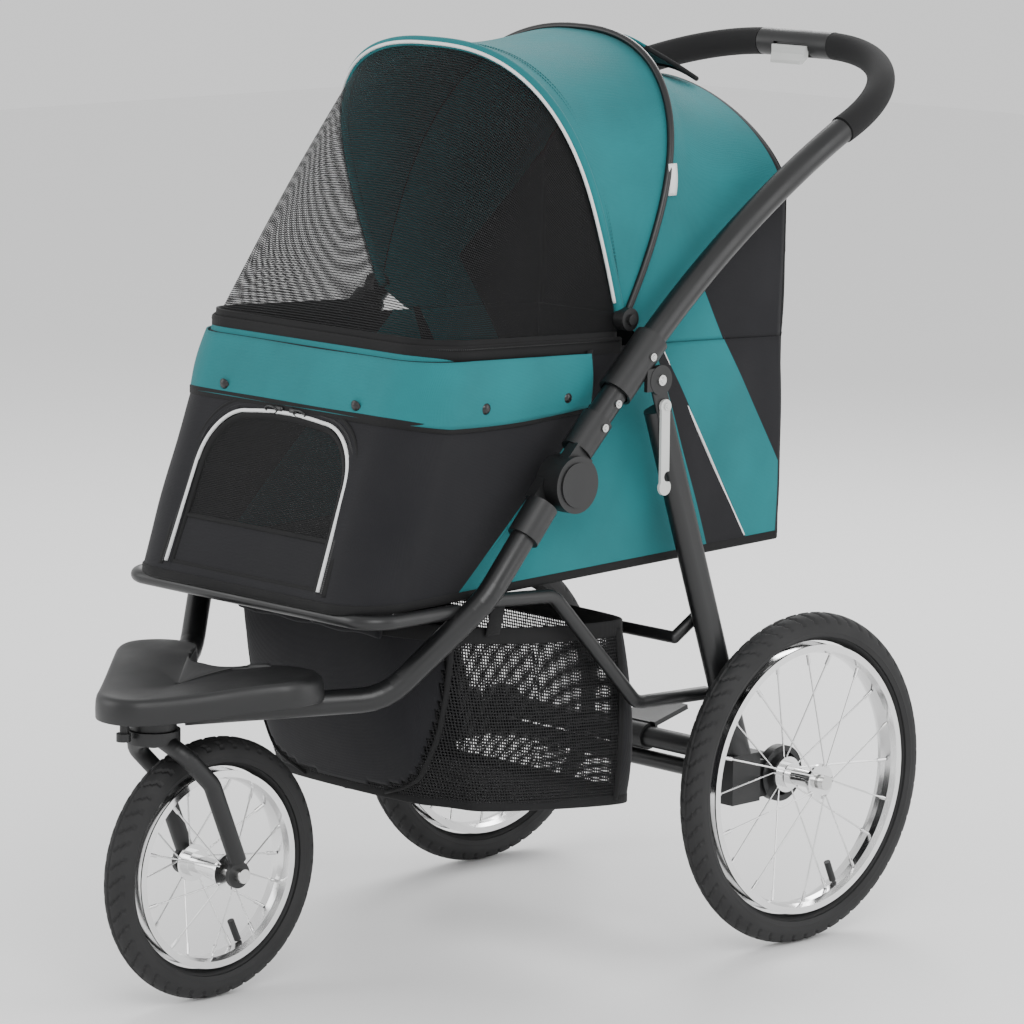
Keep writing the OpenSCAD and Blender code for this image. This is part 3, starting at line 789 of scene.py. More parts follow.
# Piped seams of the cabin's side: name, [y, z] points, how proud, radius, cloth and slot
SIDE_SEAMS = (
    (
        "side_piping",
        [(0.099, 0.704), (0.130, 0.650), (0.164, 0.594), (0.199, 0.536), (0.238, 0.476)],
        0.0015, 0.0017, white_piping, "black_fabric",
    ),
    (
        "front_seam",
        [(-0.033, 0.641), (-0.073, 0.600), (-0.107, 0.565), (-0.145, 0.528), (-0.184, 0.494)],
        0.0015, 0.0015, teal_cloth, "teal_fabric",
    ),
    (
        "rear_seam",
        [(0.1665, 0.7600), (0.194, 0.719), (0.220, 0.674), (0.255, 0.620), (0.2805, 0.574)],
        0.0008, 0.0012, black_cloth, "black_fabric",
    ),
)


def build_cabin_trim():
    bottom, nb = cabin_loop(lambda y: floor_z(y) - 0.001)
    run = bottom + nb * 0.001
    edge_tape("cabin_foot_binding", run, UP, 0.012, 0.0056, binding)
    xs = np.linspace(HALF_W, -HALF_W, 60)
    low = floor_z(REAR_Y) - 0.001
    rear = [(x, REAR_Y + 0.001, low - 0.002 * math.cos(x / HALF_W * math.pi / 2)) for x in xs]
    edge_tape("cabin_rear_binding", rear, UP, 0.012, 0.0056, binding)
    for name, seam, out, radius, paint, slot in SIDE_SEAMS:
        for letter, run in zip("lr", side_seam(seam, out)):
            piping(f"{name}_{letter}", run, radius, paint, slot=slot)
    for side, name in ((1, "left"), (-1, "right")):
        heights = np.linspace(floor_z(REAR_Y), rim_z(REAR_Y), 30)
        edge = [(side * (HALF_W + 0.0004), REAR_Y + 0.0006, z) for z in heights]
        piping(f"rear_corner_seam_{name}", edge, 0.0024, binding)
        seam = [
            (side * (HALF_W - CORNER * 0.29 + 0.0012), front_y(z) + CORNER * 0.29 - 0.0012, z)
            for z in np.linspace(floor_z(-0.33) + 0.006, 0.648, 30)
        ]
        piping(f"front_corner_seam_{name}", seam, 0.0011, black_cloth)


# ---------- door ----------


def door_grid(x_half, up0, up1, rows, cols, out, crown):
    pts = []
    for i in range(rows):
        up = up0 + (up1 - up0) * i / (rows - 1)
        for j in range(cols):
            x = x_half(up) * (2 * j / (cols - 1) - 1)
            swell = math.sin(math.pi * i / (rows - 1)) * math.cos(x / 0.14 * math.pi / 2)
            pts.append(on_door(x, up, out + crown * swell))
    return pts


def door_half(up):
    """Half width of the door flap at a height up the wall."""
    w, top, r = 0.1275, 0.1935, 0.062
    if up < top - r:
        return w
    return w - r + math.sqrt(max(r * r - (up - (top - r)) ** 2, 0.0))


def build_door():
    split = 0.060
    rows, cols = 30, 44
    lower = door_grid(door_half, 0.002, split, 14, cols, 0.0, 0.002)
    strip = panel(
        "door_lower_panel", lower, (14, cols), black_cloth, "black_fabric", "door", (0.0024, 0)
    )
    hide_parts("front_door")
    upper = door_grid(door_half, split - 0.003, 0.1932, rows, cols, 0.0005, 0.003)
    net = panel("door_net", upper, (rows, cols), hood_net, "black_mesh", "door", (0.0006, 0))
    path = door_path(0.0030, 0.004)
    run = [on_door(x, up, 0.0046) for x, up in path]
    piping("door_piping", run, 0.0022, white_piping, "door")
    tape = [on_door(x, up, 0.0014) for x, up in door_path(0.0085, 0.002)]
    edge_tape("door_edge_tape", tape, DOOR_OUT, 0.0036, 0.0090, binding, "door")
    foot = [on_door(x, 0.0045, 0.0008) for x in np.linspace(-0.1255, 0.1255, 50)]
    edge_tape("door_foot_tape", foot, DOOR_UP, 0.008, 0.0042, binding, "door")
    bar = [on_door(x, split, 0.0012) for x in np.linspace(-0.1255, 0.1255, 50)]
    edge_tape("door_seam_tape", bar, DOOR_UP, 0.005, 0.0030, binding, "door")
    outer = [on_door(x, up, 0.0024) for x, up in door_path(-0.0062, 0.000)]
    edge_tape("doorway_tape", outer, DOOR_OUT, 0.0034, 0.0090, binding)
    teeth = [on_door(x, up, 0.0040) for x, up in door_path(-0.0024, 0.004)]
    tooth = tooth_item((0.0030, 0.0012, 0.0012))
    run_tree("door_zip_teeth", [np.array(teeth)], "root", moulded_black, 0.0022, tooth)
    build_pulls()


def pull(at, normal, down, body, name):
    """Zip slider with a flat ring pull."""
    n, d = np.asarray(normal, float), np.asarray(down, float)
    side = np.cross(n, d)
    at = np.asarray(at, float)
    body_path = [at + d * t + n * 0.0035 for t in np.linspace(-0.0055, 0.0055, 5)]
    parts = [sweep(body_path, tape_section(0.0075, 0.0045), up=side)]
    ring = []
    for a in np.linspace(0, 2 * math.pi, 24, endpoint=False):
        reach = 0.0115 + 0.0095 * math.cos(a)
        ring.append(at + n * 0.006 + d * reach + side * 0.0042 * math.sin(a))
    parts.append(sweep(ring, round_section(0.0011, 8), up=n, closed=True))
    return make(name, *joined(parts), glossy_black, body, "black_plastic")


def build_pulls():
    for x, name in ((0.012, "left"), (-0.012, "right")):
        across = np.array((1 if x > 0 else -1, 0, 0.0))
        pull(on_door(x, 0.197, 0.003), DOOR_OUT, across, "root", f"door_pull_{name}")


build_band()
build_rim_zip()
build_snaps()
build_cabin_trim()
build_door()


# ---------- hood ----------


def bow_profile(half_w, top, straight, power, foot_w, count):
    """(x, height) from the left foot over the crown to the right foot, in the bow's own plane."""
    pts = []
    for h in np.linspace(0, straight, 16)[:-1]:
        t = h / straight
        pts.append((foot_w + (half_w - foot_w) * math.sin(t * math.pi / 2), h))
    for a in np.linspace(0, math.pi / 2, 60):
        pts.append(
            (
                half_w * math.cos(a) ** (2 / power),
                straight + (top - straight) * math.sin(a) ** (2 / power),
            )
        )
    pts = np.array(pts)
    pts = np.vstack([pts, np.stack([-pts[-2::-1, 0], pts[-2::-1, 1]], 1)])
    return resampled(np.column_stack([pts, np.zeros(len(pts))]), count)[:, :2]


def in_plane(profile, lean):
    """Points of a profile in a plane that leans about the hood hinge."""
    s, c = math.sin(math.radians(lean)), math.cos(math.radians(lean))
    return np.array([(x, HINGE[0] - h * s, HINGE[1] + h * c) for x, h in profile])


SPAN = 161
FRONT_LEAN, MAIN_LEAN = 19, -22
front_edge = in_plane(bow_profile(0.2025, 0.3195, 0.110, 2.6, 0.198, SPAN), FRONT_LEAN)
main_edge = in_plane(bow_profile(0.2085, 0.3300, 0.100, 2.35, 0.200, SPAN), MAIN_LEAN)


def rear_section():
    """Rear edge of the hood: up from the rim, then a low gable over the top."""
    pts = [(HALF_W, 0.706 + t * 0.174) for t in np.linspace(0, 1, 30)[:-1]]
    for a in np.linspace(0, math.pi / 2, 50):
        pts.append((HALF_W * math.cos(a) ** (2 / 1.7), 0.880 + 0.113 * math.sin(a) ** (2 / 1.45)))
    pts = np.array(pts)
    pts = np.vstack([pts, np.stack([-pts[-2::-1, 0], pts[-2::-1, 1]], 1)])
    q = resampled(np.column_stack([pts, np.zeros(len(pts))]), SPAN)
    puff = [0.004 * math.sin(math.pi * min(1, (z - 0.70) / 0.3)) for z in q[:, 1]]
    return np.array([(x, REAR_Y + out, z) for (x, z, _), out in zip(q, puff)])


def sagged(a, b, share, drop):
    """Point lines between two edges; the cloth dips between the bows."""
    p = a * (1 - share) + b * share
    dip = 4 * share * (1 - share) * drop
    centre = np.array([0, (a[:, 1].mean() + b[:, 1].mean()) / 2, 0.80])
    inward = centre - p
    inward /= np.maximum(np.linalg.norm(inward, axis=1), 1e-9)[:, None]
    weight = np.clip((p[:, 2] - 0.78) / 0.15, 0, 1)
    return p + inward * (dip * weight)[:, None]


def foot_line(share, side):
    """Lower edge of the hood's side, from the hinge along the rim to the rear corner."""
    y = HINGE[0] + (REAR_Y - HINGE[0]) * share
    z = 0.744 + (rim_z(y) - 0.744) * min(1.0, share * 6)
    return np.array([side * HALF_W, y, z])


def build_canopy():
    rows_a, rows_b = 22, 40
    grid = [sagged(front_edge, main_edge, t, 0.010) for t in np.linspace(0, 1, rows_a)]
    rear = rear_section()
    for t in np.linspace(0, 1, rows_b)[1:]:
        base = sagged(main_edge, rear, t, 0.012)
        n = SPAN // 2
        row = base.copy()
        for side, order in ((1, range(n + 1)), (-1, range(SPAN - 1, n - 1, -1))):
            order = list(order)
            foot = foot_line(t, side)
            line = base[order]
            d = np.concatenate([[0], np.cumsum(np.linalg.norm(np.diff(line, axis=0), axis=1))])
            share = 1 - d / d[-1]
            shift = foot - line[0]
            row[order] = line + shift * (share**1.5)[:, None]
        grid.append(row)
    rows = len(grid)
    pts = np.vstack(grid)
    lift = ripple(pts, 0.0016, 17, 5)
    side = np.sign(pts[:, 0])
    pts[:, 0] += side * lift * np.clip(np.abs(pts[:, 0]) / 0.15, 0, 1)
    pts[:, 2] += lift * np.clip(1 - np.abs(pts[:, 0]) / 0.18, 0, 1)
    canopy = panel(
        "canopy_cloth", pts, (rows, SPAN), panelled, "teal_fabric", None, (0.0024,)
    )
    return canopy, grid


def build_hood():
    canopy, grid = build_canopy()
    v, f = sweep(front_edge, round_section(0.0062, 12), twist_free=True, up=(0.1, 0.2, 1))
    hem_piece = make("canopy_front_hem", v, f, teal_cloth, "front_hood", "teal_fabric")
    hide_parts("front_bow")
    white = front_edge[4:-4].copy()
    away = np.array([0, -math.cos(math.radians(FRONT_LEAN)), -math.sin(math.radians(FRONT_LEAN))])
    out = white - np.array([0, white[:, 1].mean(), 0.82])
    out /= np.linalg.norm(out, axis=1)[:, None]
    white = white + away * 0.0062 + out * 0.0014
    piping("canopy_white_piping", white, 0.0021, white_piping, "front_hood")
    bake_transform(canopy)
    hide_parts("canopy")
    bow_run = main_edge + outwards(main_edge) * 0.0042
    v, f = sweep(bow_run, round_section(0.0042, 14), twist_free=True, up=(0.1, 0.2, 1))
    bow = make("main_bow_tube", v, f, powder_coat, "root", "black_tube")
    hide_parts("main_bow")
    build_rear_wall(grid)
    build_mesh_dome()
    build_hood_trim()
    return canopy


def outwards(path):
    """Unit directions away from the middle of the hood, across a bow."""
    centre = np.array([0, path[:, 1].mean(), 0.84])
    d = path - centre
    d[:, 1] *= 0.3
    return d / np.maximum(np.linalg.norm(d, axis=1), 1e-9)[:, None]


def build_rear_wall(grid):
    top = grid[-1]
    rows = 34
    pts = []
    for t in np.linspace(0, 1, rows):
        for x, y, z in top:
            low = 0.7035
            pts.append((x * 0.998, y - 0.0015 + 0.004 * math.sin(math.pi * t), low + (z - low) * t))
    wall = panel(
        "hood_rear_cloth", pts, (rows, SPAN), panelled, "black_fabric", thick=(0.0024, 1.0)
    )
    edge = top[2:-2] + np.array([0, 0.0015, 0.0])
    piping("hood_rear_seam", edge, 0.0026, binding)
    frame_path = []
    for a in np.linspace(0, 2 * math.pi, 80, endpoint=False):
        c, s = math.cos(a), math.sin(a)
        x, z = (math.copysign(abs(t) ** 0.5, t) for t in (c, s))
        frame_path.append((0.115 * x, REAR_Y + 0.0062, 0.815 + 0.075 * z))
    edge_tape("rear_window_tape", frame_path, (0, 1, 0), 0.003, 0.014, binding, closed=True)
    flap = []
    for t in np.linspace(0, 1, 14):
        for x in np.linspace(-0.062, 0.062, 24):
            y = 0.205 + 0.085 * t
            z = 1.046 - 0.046 * t - 0.020 * t * t * 0.2 - 0.0016 * (x / 0.06) ** 2 * 8 + 0.010 * t
            flap.append((x, y, z))
    cover = panel("rear_flap_cloth", flap, (14, 24), teal_cloth, "teal_fabric", thick=(0.003, 1.0))
    rim = np.array(flap).reshape(14, 24, 3)
    outline = np.vstack([rim[:, 0], rim[-1, 1:], rim[::-1, -1][1:]])
    piping("rear_flap_binding", outline + np.array([0, 0, 0.001]), 0.0030, binding)


def dome_rows():
    """Rows of the mesh dome from the rim up to the front bow."""
    lower, nrm = cabin_loop(lambda y: rim_z(y) + 0.004, start=0.026)
    lower = resampled(lower + nrm * -0.001, SPAN)
    upper = front_edge.copy()
    upper[:, 0] *= 0.992
    rows = []
    for t in np.linspace(0, 1, 40):
        p = lower * (1 - t) + upper * t
        bulge = 0.012 * math.sin(math.pi * t)
        mid = np.clip(1 - np.abs(p[:, 0]) / 0.20, 0, 1) ** 0.5
        p[:, 1] -= bulge * mid
        p[:, 2] += 0.4 * bulge * mid
        rows.append(p)
    return rows


def build_mesh_dome():
    rows = dome_rows()
    pts = np.vstack(rows)
    dome = panel(
        "hood_net_dome",
        pts,
        (len(rows), SPAN),
        hood_net,
        "black_mesh",
        "front_hood",
        turned_over=True,
    )
    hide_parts("mesh_dome")
    skirt = [rows[0] + np.array([0, 0, dz]) for dz in (-0.004, 0.004, 0.012)]
    skirt[2] = rows[0] * 0.965 + rows[2] * 0.035 + np.array([0, 0, 0.012])
    v = np.vstack(skirt)
    panel("dome_hem_tape", v, (3, SPAN), binding, "black_fabric", "front_hood", (0.003, 0))


def build_hood_trim():
    seam = sagged(front_edge, main_edge, 0.16, 0.010)[6:-6]
    seam = seam + outwards(seam) * 0.0030
    second = sagged(front_edge, main_edge, 0.13, 0.010)[6:-6] + outwards(seam) * 0.0030
    thread = stitch_item(0.0028, 0.00045)
    run_tree("hood_stitches", [seam, second], None, thread_teal, 0.0042, thread)
    stitches = bpy.data.objects["hood_stitches"]
    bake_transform(stitches)
    at = main_edge[int(SPAN * 0.185)]
    tag = []
    for t in np.linspace(0, 1, 8):
        for u in np.linspace(0, 1, 4):
            place = (0.0045 + 0.002 * math.sin(3 * t), 0.001 + 0.013 * u, 0.018 - 0.036 * t)
            tag.append(at + np.array(place))
    label = panel(
        "care_tag", tag, (8, 4), white_piping, "black_fabric", thick=(0.0008, 0), turned_over=True
    )


build_hood()


# ---------- basket ----------


def basket_ring(share, count=240):
    """One level of the basket, from its rim down to its floor, as a closed loop."""
    z_rim_front, z_rim_rear = 0.418, 0.384
    front = -0.258 + 0.022 * share + 0.034 * share**2.2
    rear = 0.086 + 0.040 * share - 0.024 * share**2
    half_rear = 0.186 + 0.012 * share - 0.016 * share**2
    half_front = 0.146 - 0.006 * share
    corner = 0.034
    z_front = z_rim_front - (z_rim_front - 0.214) * share
    z_rear = z_rim_rear - (z_rim_rear - 0.180) * share
    middle = -0.185 + 0.03 * share
    left = [(-half_rear, rear - corner), (-half_rear, middle), (-half_front, front + corner * 0.9)]
    left.append((-half_front + corner, front))
    rear_corner = (half_rear - corner, rear)
    outline = left + [(-x, y) for x, y in left[::-1]] + [rear_corner, (-rear_corner[0], rear)]
    p = np.array([(x, y, 0.0) for x, y in outline])
    p = np.vstack([p, p[:1]])
    for _ in range(3):
        q = np.empty((2 * (len(p) - 1), 3))
        q[0::2] = 0.75 * p[:-1] + 0.25 * p[1:]
        q[1::2] = 0.25 * p[:-1] + 0.75 * p[1:]
        p = np.vstack([q, q[:1]])
    p = resampled(p, count + 1)[:-1]
    t = np.clip((p[:, 1] - front) / (rear - front), 0, 1)
    p[:, 2] = z_front * (1 - t) + z_rear * t
    belly = 0.003 * math.sin(math.pi * share)
    p[:, 0] += np.sign(p[:, 0]) * belly
    p[:, 2] -= 0.004 * np.sin(math.pi * t) * (1 - share)
    return p


def build_basket():
    rows, count = 40, 240
    levels = [basket_ring(t, count) for t in np.linspace(0, 1, rows)]
    pts = np.vstack(levels)
    pts[:, 0] += ripple(pts, 0.0012, 22, 8)
    faces = grid_faces(rows, count, closed_cols=True)
    mid = np.array([pts[list(f)].mean(0) for f in faces])
    solid = (mid[:, 1] < -0.205) | ((mid[:, 1] > 0.055) & (np.abs(mid[:, 0]) > 0.13))
    uv = metres_uv(pts, rows, count)
    parts = []
    for name, keep, paint, slot, thickness in (
        ("basket_front_cloth", solid, black_cloth, "black_fabric", 0.0016),
        ("basket_side_net", ~solid, basket_net, "black_mesh", 0.0008),
    ):
        piece = make(name, pts, [f for f, k in zip(faces, keep) if k], paint, None, slot, uv=uv)
        trim_loose(piece)
        thicken(piece, thickness, 0)
        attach(piece, "root")
        parts.append(piece)
    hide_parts("basket")
    low = levels[-1]
    floor_pts = []
    n_rows, n_cols = 40, 40
    ys = np.linspace(low[:, 1].min(), low[:, 1].max(), n_rows)
    right = low[low[:, 0] > 0]
    right = right[np.argsort(right[:, 1])]
    for y in ys:
        w = np.interp(y, right[:, 1], right[:, 0])
        z = np.interp(y, right[:, 1], right[:, 2])
        for u in np.linspace(-1, 1, n_cols):
            floor_pts.append((w * u, y, z - 0.006 * (1 - u * u)))
    floor = panel("basket_floor_cloth", floor_pts, (n_rows, n_cols), black_cloth, "black_fabric")
    thicken(floor, 0.0016, 0)
    parts.append(floor)
    parts.append(edge_tape("basket_rim_tape", levels[0], UP, 0.019, 0.0034, binding, closed=True))
    parts.append(edge_tape("basket_floor_tape", levels[-1], UP, 0.012, 0.0032, binding, closed=True))
    for k, (y, sign) in enumerate(((-0.2, 1), (-0.2, -1), (0.055, 1), (0.055, -1))):
        column = []
        for level in levels:
            side = level[np.sign(level[:, 0]) == sign]
            column.append(side[np.argmin(np.abs(side[:, 1] - y))] + np.array([sign * 0.001, 0, 0]))
        name = f"basket_column_tape_{k}"
        parts.append(edge_tape(name, smooth_run(column), BACKWARD, 0.009, 0.0032, binding))
    for side, name in ((LEFT, "left"), (RIGHT, "right")):
        loop = [(0.1845, -0.150, 0.405), (0.190, -0.150, 0.423), (0.1935, -0.150, 0.443)]
        loop = resampled([(side * x, y, z) for x, y, z in loop], 12)
        parts.append(edge_tape(f"basket_loop_{name}_0", loop, BACKWARD, 0.022, 0.0024, binding))
    sleeve = [
        (x, -0.256 - 0.003 * math.cos(x * 13), 0.421 + 0.0012 * math.sin(x * 90))
        for x in np.linspace(-0.118, 0.118, 50)
    ]
    parts.append(edge_tape("basket_front_sleeve", sleeve, (0, 0.1, 1), 0.030, 0.0060, black_cloth))
    v, f = turned(snap_profile())
    snap = facing(v * 1.1, (0, -0.98, -0.2), (0.012, -0.2635, 0.417))
    make("basket_snap", snap, f, glossy_black, "root", "black_plastic")
    return parts


def smooth_run(points):
    p = np.array(points)
    for _ in range(6):
        p[1:-1] = (p[:-2] + 2 * p[1:-1] + p[2:]) / 4
    return p


def trim_loose(obj):
    """Drops the points no face uses."""
    mesh = obj.data
    used = np.zeros(len(mesh.vertices), bool)
    index = np.empty(len(mesh.loops), np.int32)
    mesh.loops.foreach_get("vertex_index", index)
    used[index] = True
    bm = bmesh.new()
    bm.from_mesh(mesh)
    bm.verts.ensure_lookup_table()
    bmesh.ops.delete(bm, geom=[v for v, keep in zip(bm.verts, used) if not keep], context="VERTS")
    bm.to_mesh(mesh)
    bm.free()


# ---------- cushion ----------


def build_cushion():
    """Crowned pad with pulled-in sides, piped round its edge."""
    lo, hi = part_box("cabin_cushion")
    cx, cy = (lo[0] + hi[0]) / 2, (lo[1] + hi[1]) / 2
    hx, hy = (hi[0] - lo[0]) / 2 - 0.001, (hi[1] - lo[1]) / 2 - 0.001
    base, top = lo[2] + 0.001, lo[2] + 0.027
    tilt = floor_z(1.0) - floor_z(0.0)
    n = 90
    a = np.linspace(0, 2 * math.pi, n, endpoint=False)
    c, s = np.cos(a), np.sin(a)
    outline = np.stack([np.sign(c) * np.abs(c) ** 0.42, np.sign(s) * np.abs(s) ** 0.42], 1)
    pull = 1 - 0.02 * np.cos(4 * a) ** 2 * (np.abs(c * s) < 0.2)
    pts = []
    for r in np.linspace(0.02, 1, 26):
        height = top - 0.003 - 0.012 * r**6 - 0.003 * math.exp(-(((r - 0.55) / 0.08) ** 2))
        for (ox, oy), q in zip(outline, pull):
            pts.append((cx + hx * ox * r * q, cy + hy * oy * r * q, height))
    for t in np.linspace(0, 1, 8)[1:]:
        for (ox, oy), q in zip(outline, pull):
            bulge = 0.99 + 0.008 * math.sin(math.pi * t) - 0.012 * t
            pts.append((cx + hx * ox * q * bulge, cy + hy * oy * q * bulge, base + 0.012 * (1 - t)))
    for r in np.linspace(0.97, 0.02, 12):
        for (ox, oy), q in zip(outline, pull):
            pts.append((cx + hx * ox * r * q * 0.97, cy + hy * oy * r * q * 0.97, base))
    pts = np.array(pts)
    pts[:, 2] += ripple(pts, 0.0012, 30, 21) * np.clip((pts[:, 2] - base) / 0.02, 0, 1)
    pts[:, 2] += tilt * (pts[:, 1] - lo[1])
    total = len(pts) // n
    faces = [f[::-1] for f in grid_faces(total, n, closed_cols=True)]
    faces.append(tuple(range(n)))
    faces.append(tuple(reversed(range((total - 1) * n, total * n))))
    pad = make("cushion_pad", pts, faces, black_cloth, "root", "black_fabric")
    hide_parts("cabin_cushion")
    seam = pts[25 * n : 26 * n]
    edge_tape("cushion_piping", seam, UP, 0.005, 0.005, binding, closed=True)


# ---------- tyres ----------


def build_tyre(name, node, body, blocks):
    lo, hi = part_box(node)
    centre = (np.array(lo) + np.array(hi)) / 2
    radius = (hi[2] - lo[2]) / 2
    tube = (hi[0] - lo[0]) / 2
    ring_r = radius - tube
    per_block, sides = 8, 56
    rings = blocks * per_block
    a = np.repeat(np.arange(rings) * 2 * math.pi / rings, sides).reshape(rings, sides)
    b = np.tile(np.arange(sides) * 2 * math.pi / sides, (rings, 1))
    turn = np.tile((np.arange(rings) % per_block / per_block)[:, None], (1, sides))
    across = np.abs(np.sin(b)) * np.sign(np.sin(b))
    crown = np.cos(b)
    slant = (turn + 0.9 * np.abs(across)) % 1.0
    groove = (slant < 0.2) & (crown > 0.34)
    middle = (np.abs(across) < 0.09) & (crown > 0)
    depth = np.where(groove | middle, -0.0016, 0.0)
    bead = np.where((crown < -0.62), -0.002, 0.0)
    line = np.where((crown > -0.25) & (crown < -0.16), 0.0006, 0.0)
    t = tube - 0.0004 + depth + bead + line
    rad = ring_r + t * crown
    x = centre[0] + t * np.sin(b) * 0.985
    y = centre[1] + rad * np.cos(a)
    z = centre[2] + rad * np.sin(a)
    pts = np.stack([x, y, z], 2).reshape(-1, 3)
    faces = [f[::-1] for f in grid_faces(rings, sides, True, True)]
    tyre = make(name, pts, faces, tyre_rubber, body, "tyre_rubber", smooth=True)
    tyre.data.set_sharp_from_angle(angle=math.radians(28))
    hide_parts(node)


for tyre_node, tyre_body, tyre_blocks in (
    ("rear_tyre_left", "rear_wheel_left", 58),
    ("rear_tyre_right", "rear_wheel_right", 58),
    ("front_tyre", "front_wheel", 46),
):
    build_tyre(tyre_node + "_tread", tyre_node, tyre_body, tyre_blocks)


# ---------- nose cover ----------


def build_nose():
    """One moulded shell: a rounded tip, two wings, a dished top and a lower skirt."""
    tip_r, wing_r = 0.052, 0.046
    tip = np.array([0, -0.551 + tip_r])
    outline = []
    left = np.array([0.106, -0.392])
    start = math.atan2(left[1] - tip[1], left[0] - tip[0]) - math.pi / 2
    for a in np.linspace(-math.pi / 2, start, 30):
        outline.append(tip + tip_r * np.array([math.cos(a), math.sin(a)]))
    for a in np.linspace(start, math.pi * 0.80, 44):
        outline.append(left + wing_r * np.array([math.cos(a), math.sin(a)]))
    notch = np.array([0.0, -0.410])
    last = outline[-1]
    for t in np.linspace(0, 1, 26)[1:]:
        p = last * (1 - t) + notch * t
        p[1] -= 0.016 * math.sin(math.pi * t)
        outline.append(p)
    half = np.array(outline)
    ring = np.vstack([half, np.stack([-half[-2:0:-1, 0], half[-2:0:-1, 1]], 1)])
    ring = np.vstack([ring, ring[:1]])
    ring = resampled(np.column_stack([ring, np.zeros(len(ring))]), 241)[:-1, :2]
    middle = np.array([0, -0.450])
    n = len(ring)
    pts = []

    def height(p):
        back = np.clip((p[1] + 0.545) / 0.16, 0, 1)
        back = back * back * (3 - 2 * back)
        return 0.352 + 0.022 * back

    skirt = [(1.0, -0.020), (1.004, -0.019), (1.006, -0.010), (1.0, -0.001), (0.985, 0.0045)]
    levels = [(k, dz, False) for k, dz in skirt + [(0.955, 0.0075)]]
    for k in np.linspace(0.92, 0.0, 20):
        levels.append((k, 0.0085 - 0.010 * (0.955 - k) * (1 - 0.4 * k), True))
    for k, dz, dished in levels:
        for q in ring:
            p = middle + (q - middle) * k
            z = height(q if not dished else p) + dz
            if dished:
                z -= 0.003 * math.exp(-((p[0] / 0.045) ** 2) - ((p[1] + 0.455) / 0.05) ** 2)
            pts.append((p[0], p[1], z))
    rows = len(levels)
    faces = grid_faces(rows, n, closed_cols=True)
    cover = make("nose_shell", pts, faces, moulded_black, None, "black_plastic")
    thicken(cover, 0.0022, -1)
    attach(cover, "root")
    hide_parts("nose_cover")


build_nose()


# ---------- kept CAD parts ----------

CAD_PAINTS = (
    ("tube", powder_coat), ("bar", powder_coat), ("link", powder_coat), ("leg_l", powder_coat),
    ("leg_r", powder_coat), ("bow", powder_coat), ("rim", bright_rim), ("spokes", bright_rim),
    ("hub_left", bright_rim), ("hub_right", bright_rim), ("front_hub", bright_rim), ("valve", moulded_black),
    ("grip", foam), ("axles", zinc), ("axle_", moulded_black), ("front_axle", zinc), ("bolts", zinc),
    ("hook", pale_plastic), ("hinges", moulded_black), ("lever", pale_plastic),
)


def paint_for(node):
    chosen = moulded_black
    for key, paint in CAD_PAINTS:
        if key in node:
            chosen = paint
    if node.startswith("fold_") or node in ("head_block", "leg_bracket_left", "leg_bracket_right"):
        chosen = moulded_black
    return chosen


for node_name, node_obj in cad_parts.items():
    if node_obj.hide_render:
        continue
    node_obj.data.materials.clear()
    node_obj.data.materials.append(paint_for(node_name).mat)
    edge = node_obj.modifiers.new("soft_edge", "BEVEL")
    edge.width = 0.0005
    edge.segments = 2
    edge.limit_method = "ANGLE"
    edge.angle_limit = math.radians(38)
    edge.harden_normals = False

basket = build_basket()
build_cushion()

CABIN_ON = (
    "cabin_side_cloth", "cabin_rear_cloth", "cabin_floor_cloth", "cabin_foot_binding", "cabin_rear_binding",
    "side_piping_l", "side_piping_r", "front_seam_l", "front_seam_r", "rear_seam_l", "rear_seam_r",
    "rear_corner_seam_left", "rear_corner_seam_right", "front_corner_seam_left", "front_corner_seam_right",
    "rim_band_cloth", "band_binding", "band_end_left", "band_end_right", "band_stitches", "snap_domes",
    "doorway_tape", "door_zip_teeth", "cushion_pad", "cushion_piping", "door_lower_panel", "door_net",
    "door_piping", "door_edge_tape", "door_foot_tape", "door_seam_tape", "door_pull_left", "door_pull_right",
)
for piece_name in CABIN_ON:
    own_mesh(bpy.data.objects[piece_name])
for piece in basket:
    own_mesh(piece)


# ---------- floor, light and camera ----------


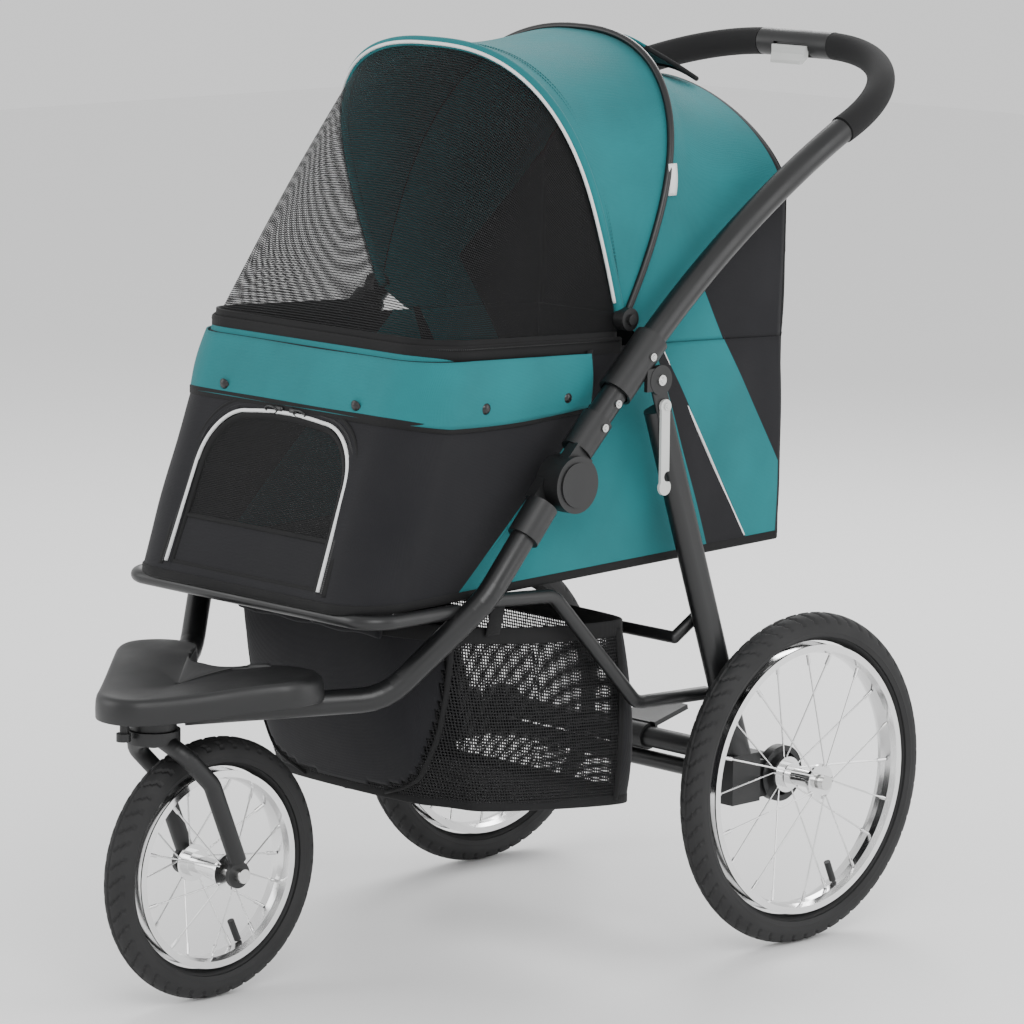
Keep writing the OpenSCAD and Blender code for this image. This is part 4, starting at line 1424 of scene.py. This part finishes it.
def area_light(name, at, aim, size, watts, tint=(1, 1, 1)):
    data = bpy.data.lights.new(name, "AREA")
    data.shape = "RECTANGLE"
    data.size, data.size_y = size
    data.energy = watts
    data.color = tint
    lamp = bpy.data.objects.new(name, data)
    lamp.location = at
    lamp.rotation_mode = "QUATERNION"
    lamp.rotation_quaternion = (Vector(aim) - Vector(at)).to_track_quat("-Z", "Y")
    scene.collection.objects.link(lamp)


floor_paint = Paint("pale_floor", (0.93, 0.93, 0.93), 0.6)
floor_at = floor_paint.place()
floor_paint.vary_colour(floor_paint.noise(floor_at, 2), (0.925,) * 3, (0.935,) * 3)
FLOOR_HALF = 9
corners = [(x * FLOOR_HALF, y * FLOOR_HALF, 0) for x, y in ((-1, -1), (1, -1), (1, 1), (-1, 1))]
floor = make("studio_floor", corners, [(0, 1, 2, 3)], floor_paint, None, "black_fabric")

world = bpy.data.worlds.new("studio")
scene.world = world
world.use_nodes = True
world.node_tree.nodes["Background"].inputs["Color"].default_value = (1, 1, 1, 1)
world.node_tree.nodes["Background"].inputs["Strength"].default_value = 1.0
area_light("key", (2.9, -2.4, 3.0), (0, 0, 0.5), (2.4, 2.4), 95)
area_light("fill", (3.0, 1.6, 1.6), (0, 0.1, 0.5), (2.0, 2.6), 35)
area_light("front_fill", (-2.6, -3.0, 1.8), (0, 0, 0.5), (2.2, 2.2), 38)
area_light("rim", (-1.5, 2.6, 2.6), (0, 0, 0.6), (2.0, 1.4), 70)

AZIMUTH, ELEVATION, ROLL = math.radians(45.94), math.radians(9.69), math.radians(0.587)
TARGET, DISTANCE = Vector((-0.008, 0.065, 0.495)), 5.70
back = Vector(
    (
        math.sin(AZIMUTH) * math.cos(ELEVATION),
        -math.cos(AZIMUTH) * math.cos(ELEVATION),
        math.sin(ELEVATION),
    )
)
right = Vector((math.cos(AZIMUTH), math.sin(AZIMUTH), 0))
up = back.cross(right)
right, up = (
    right * math.cos(ROLL) + up * math.sin(ROLL),
    up * math.cos(ROLL) - right * math.sin(ROLL),
)
lens = bpy.data.cameras.new("camera")
lens.lens, lens.sensor_width = 172.0, 36.0
lens.clip_start, lens.clip_end = 0.1, 60
camera = bpy.data.objects.new("camera", lens)
scene.collection.objects.link(camera)
camera.location = TARGET + back * DISTANCE
camera.rotation_mode = "QUATERNION"
camera.rotation_quaternion = Matrix((right, up, back)).transposed().to_quaternion()
scene.camera = camera
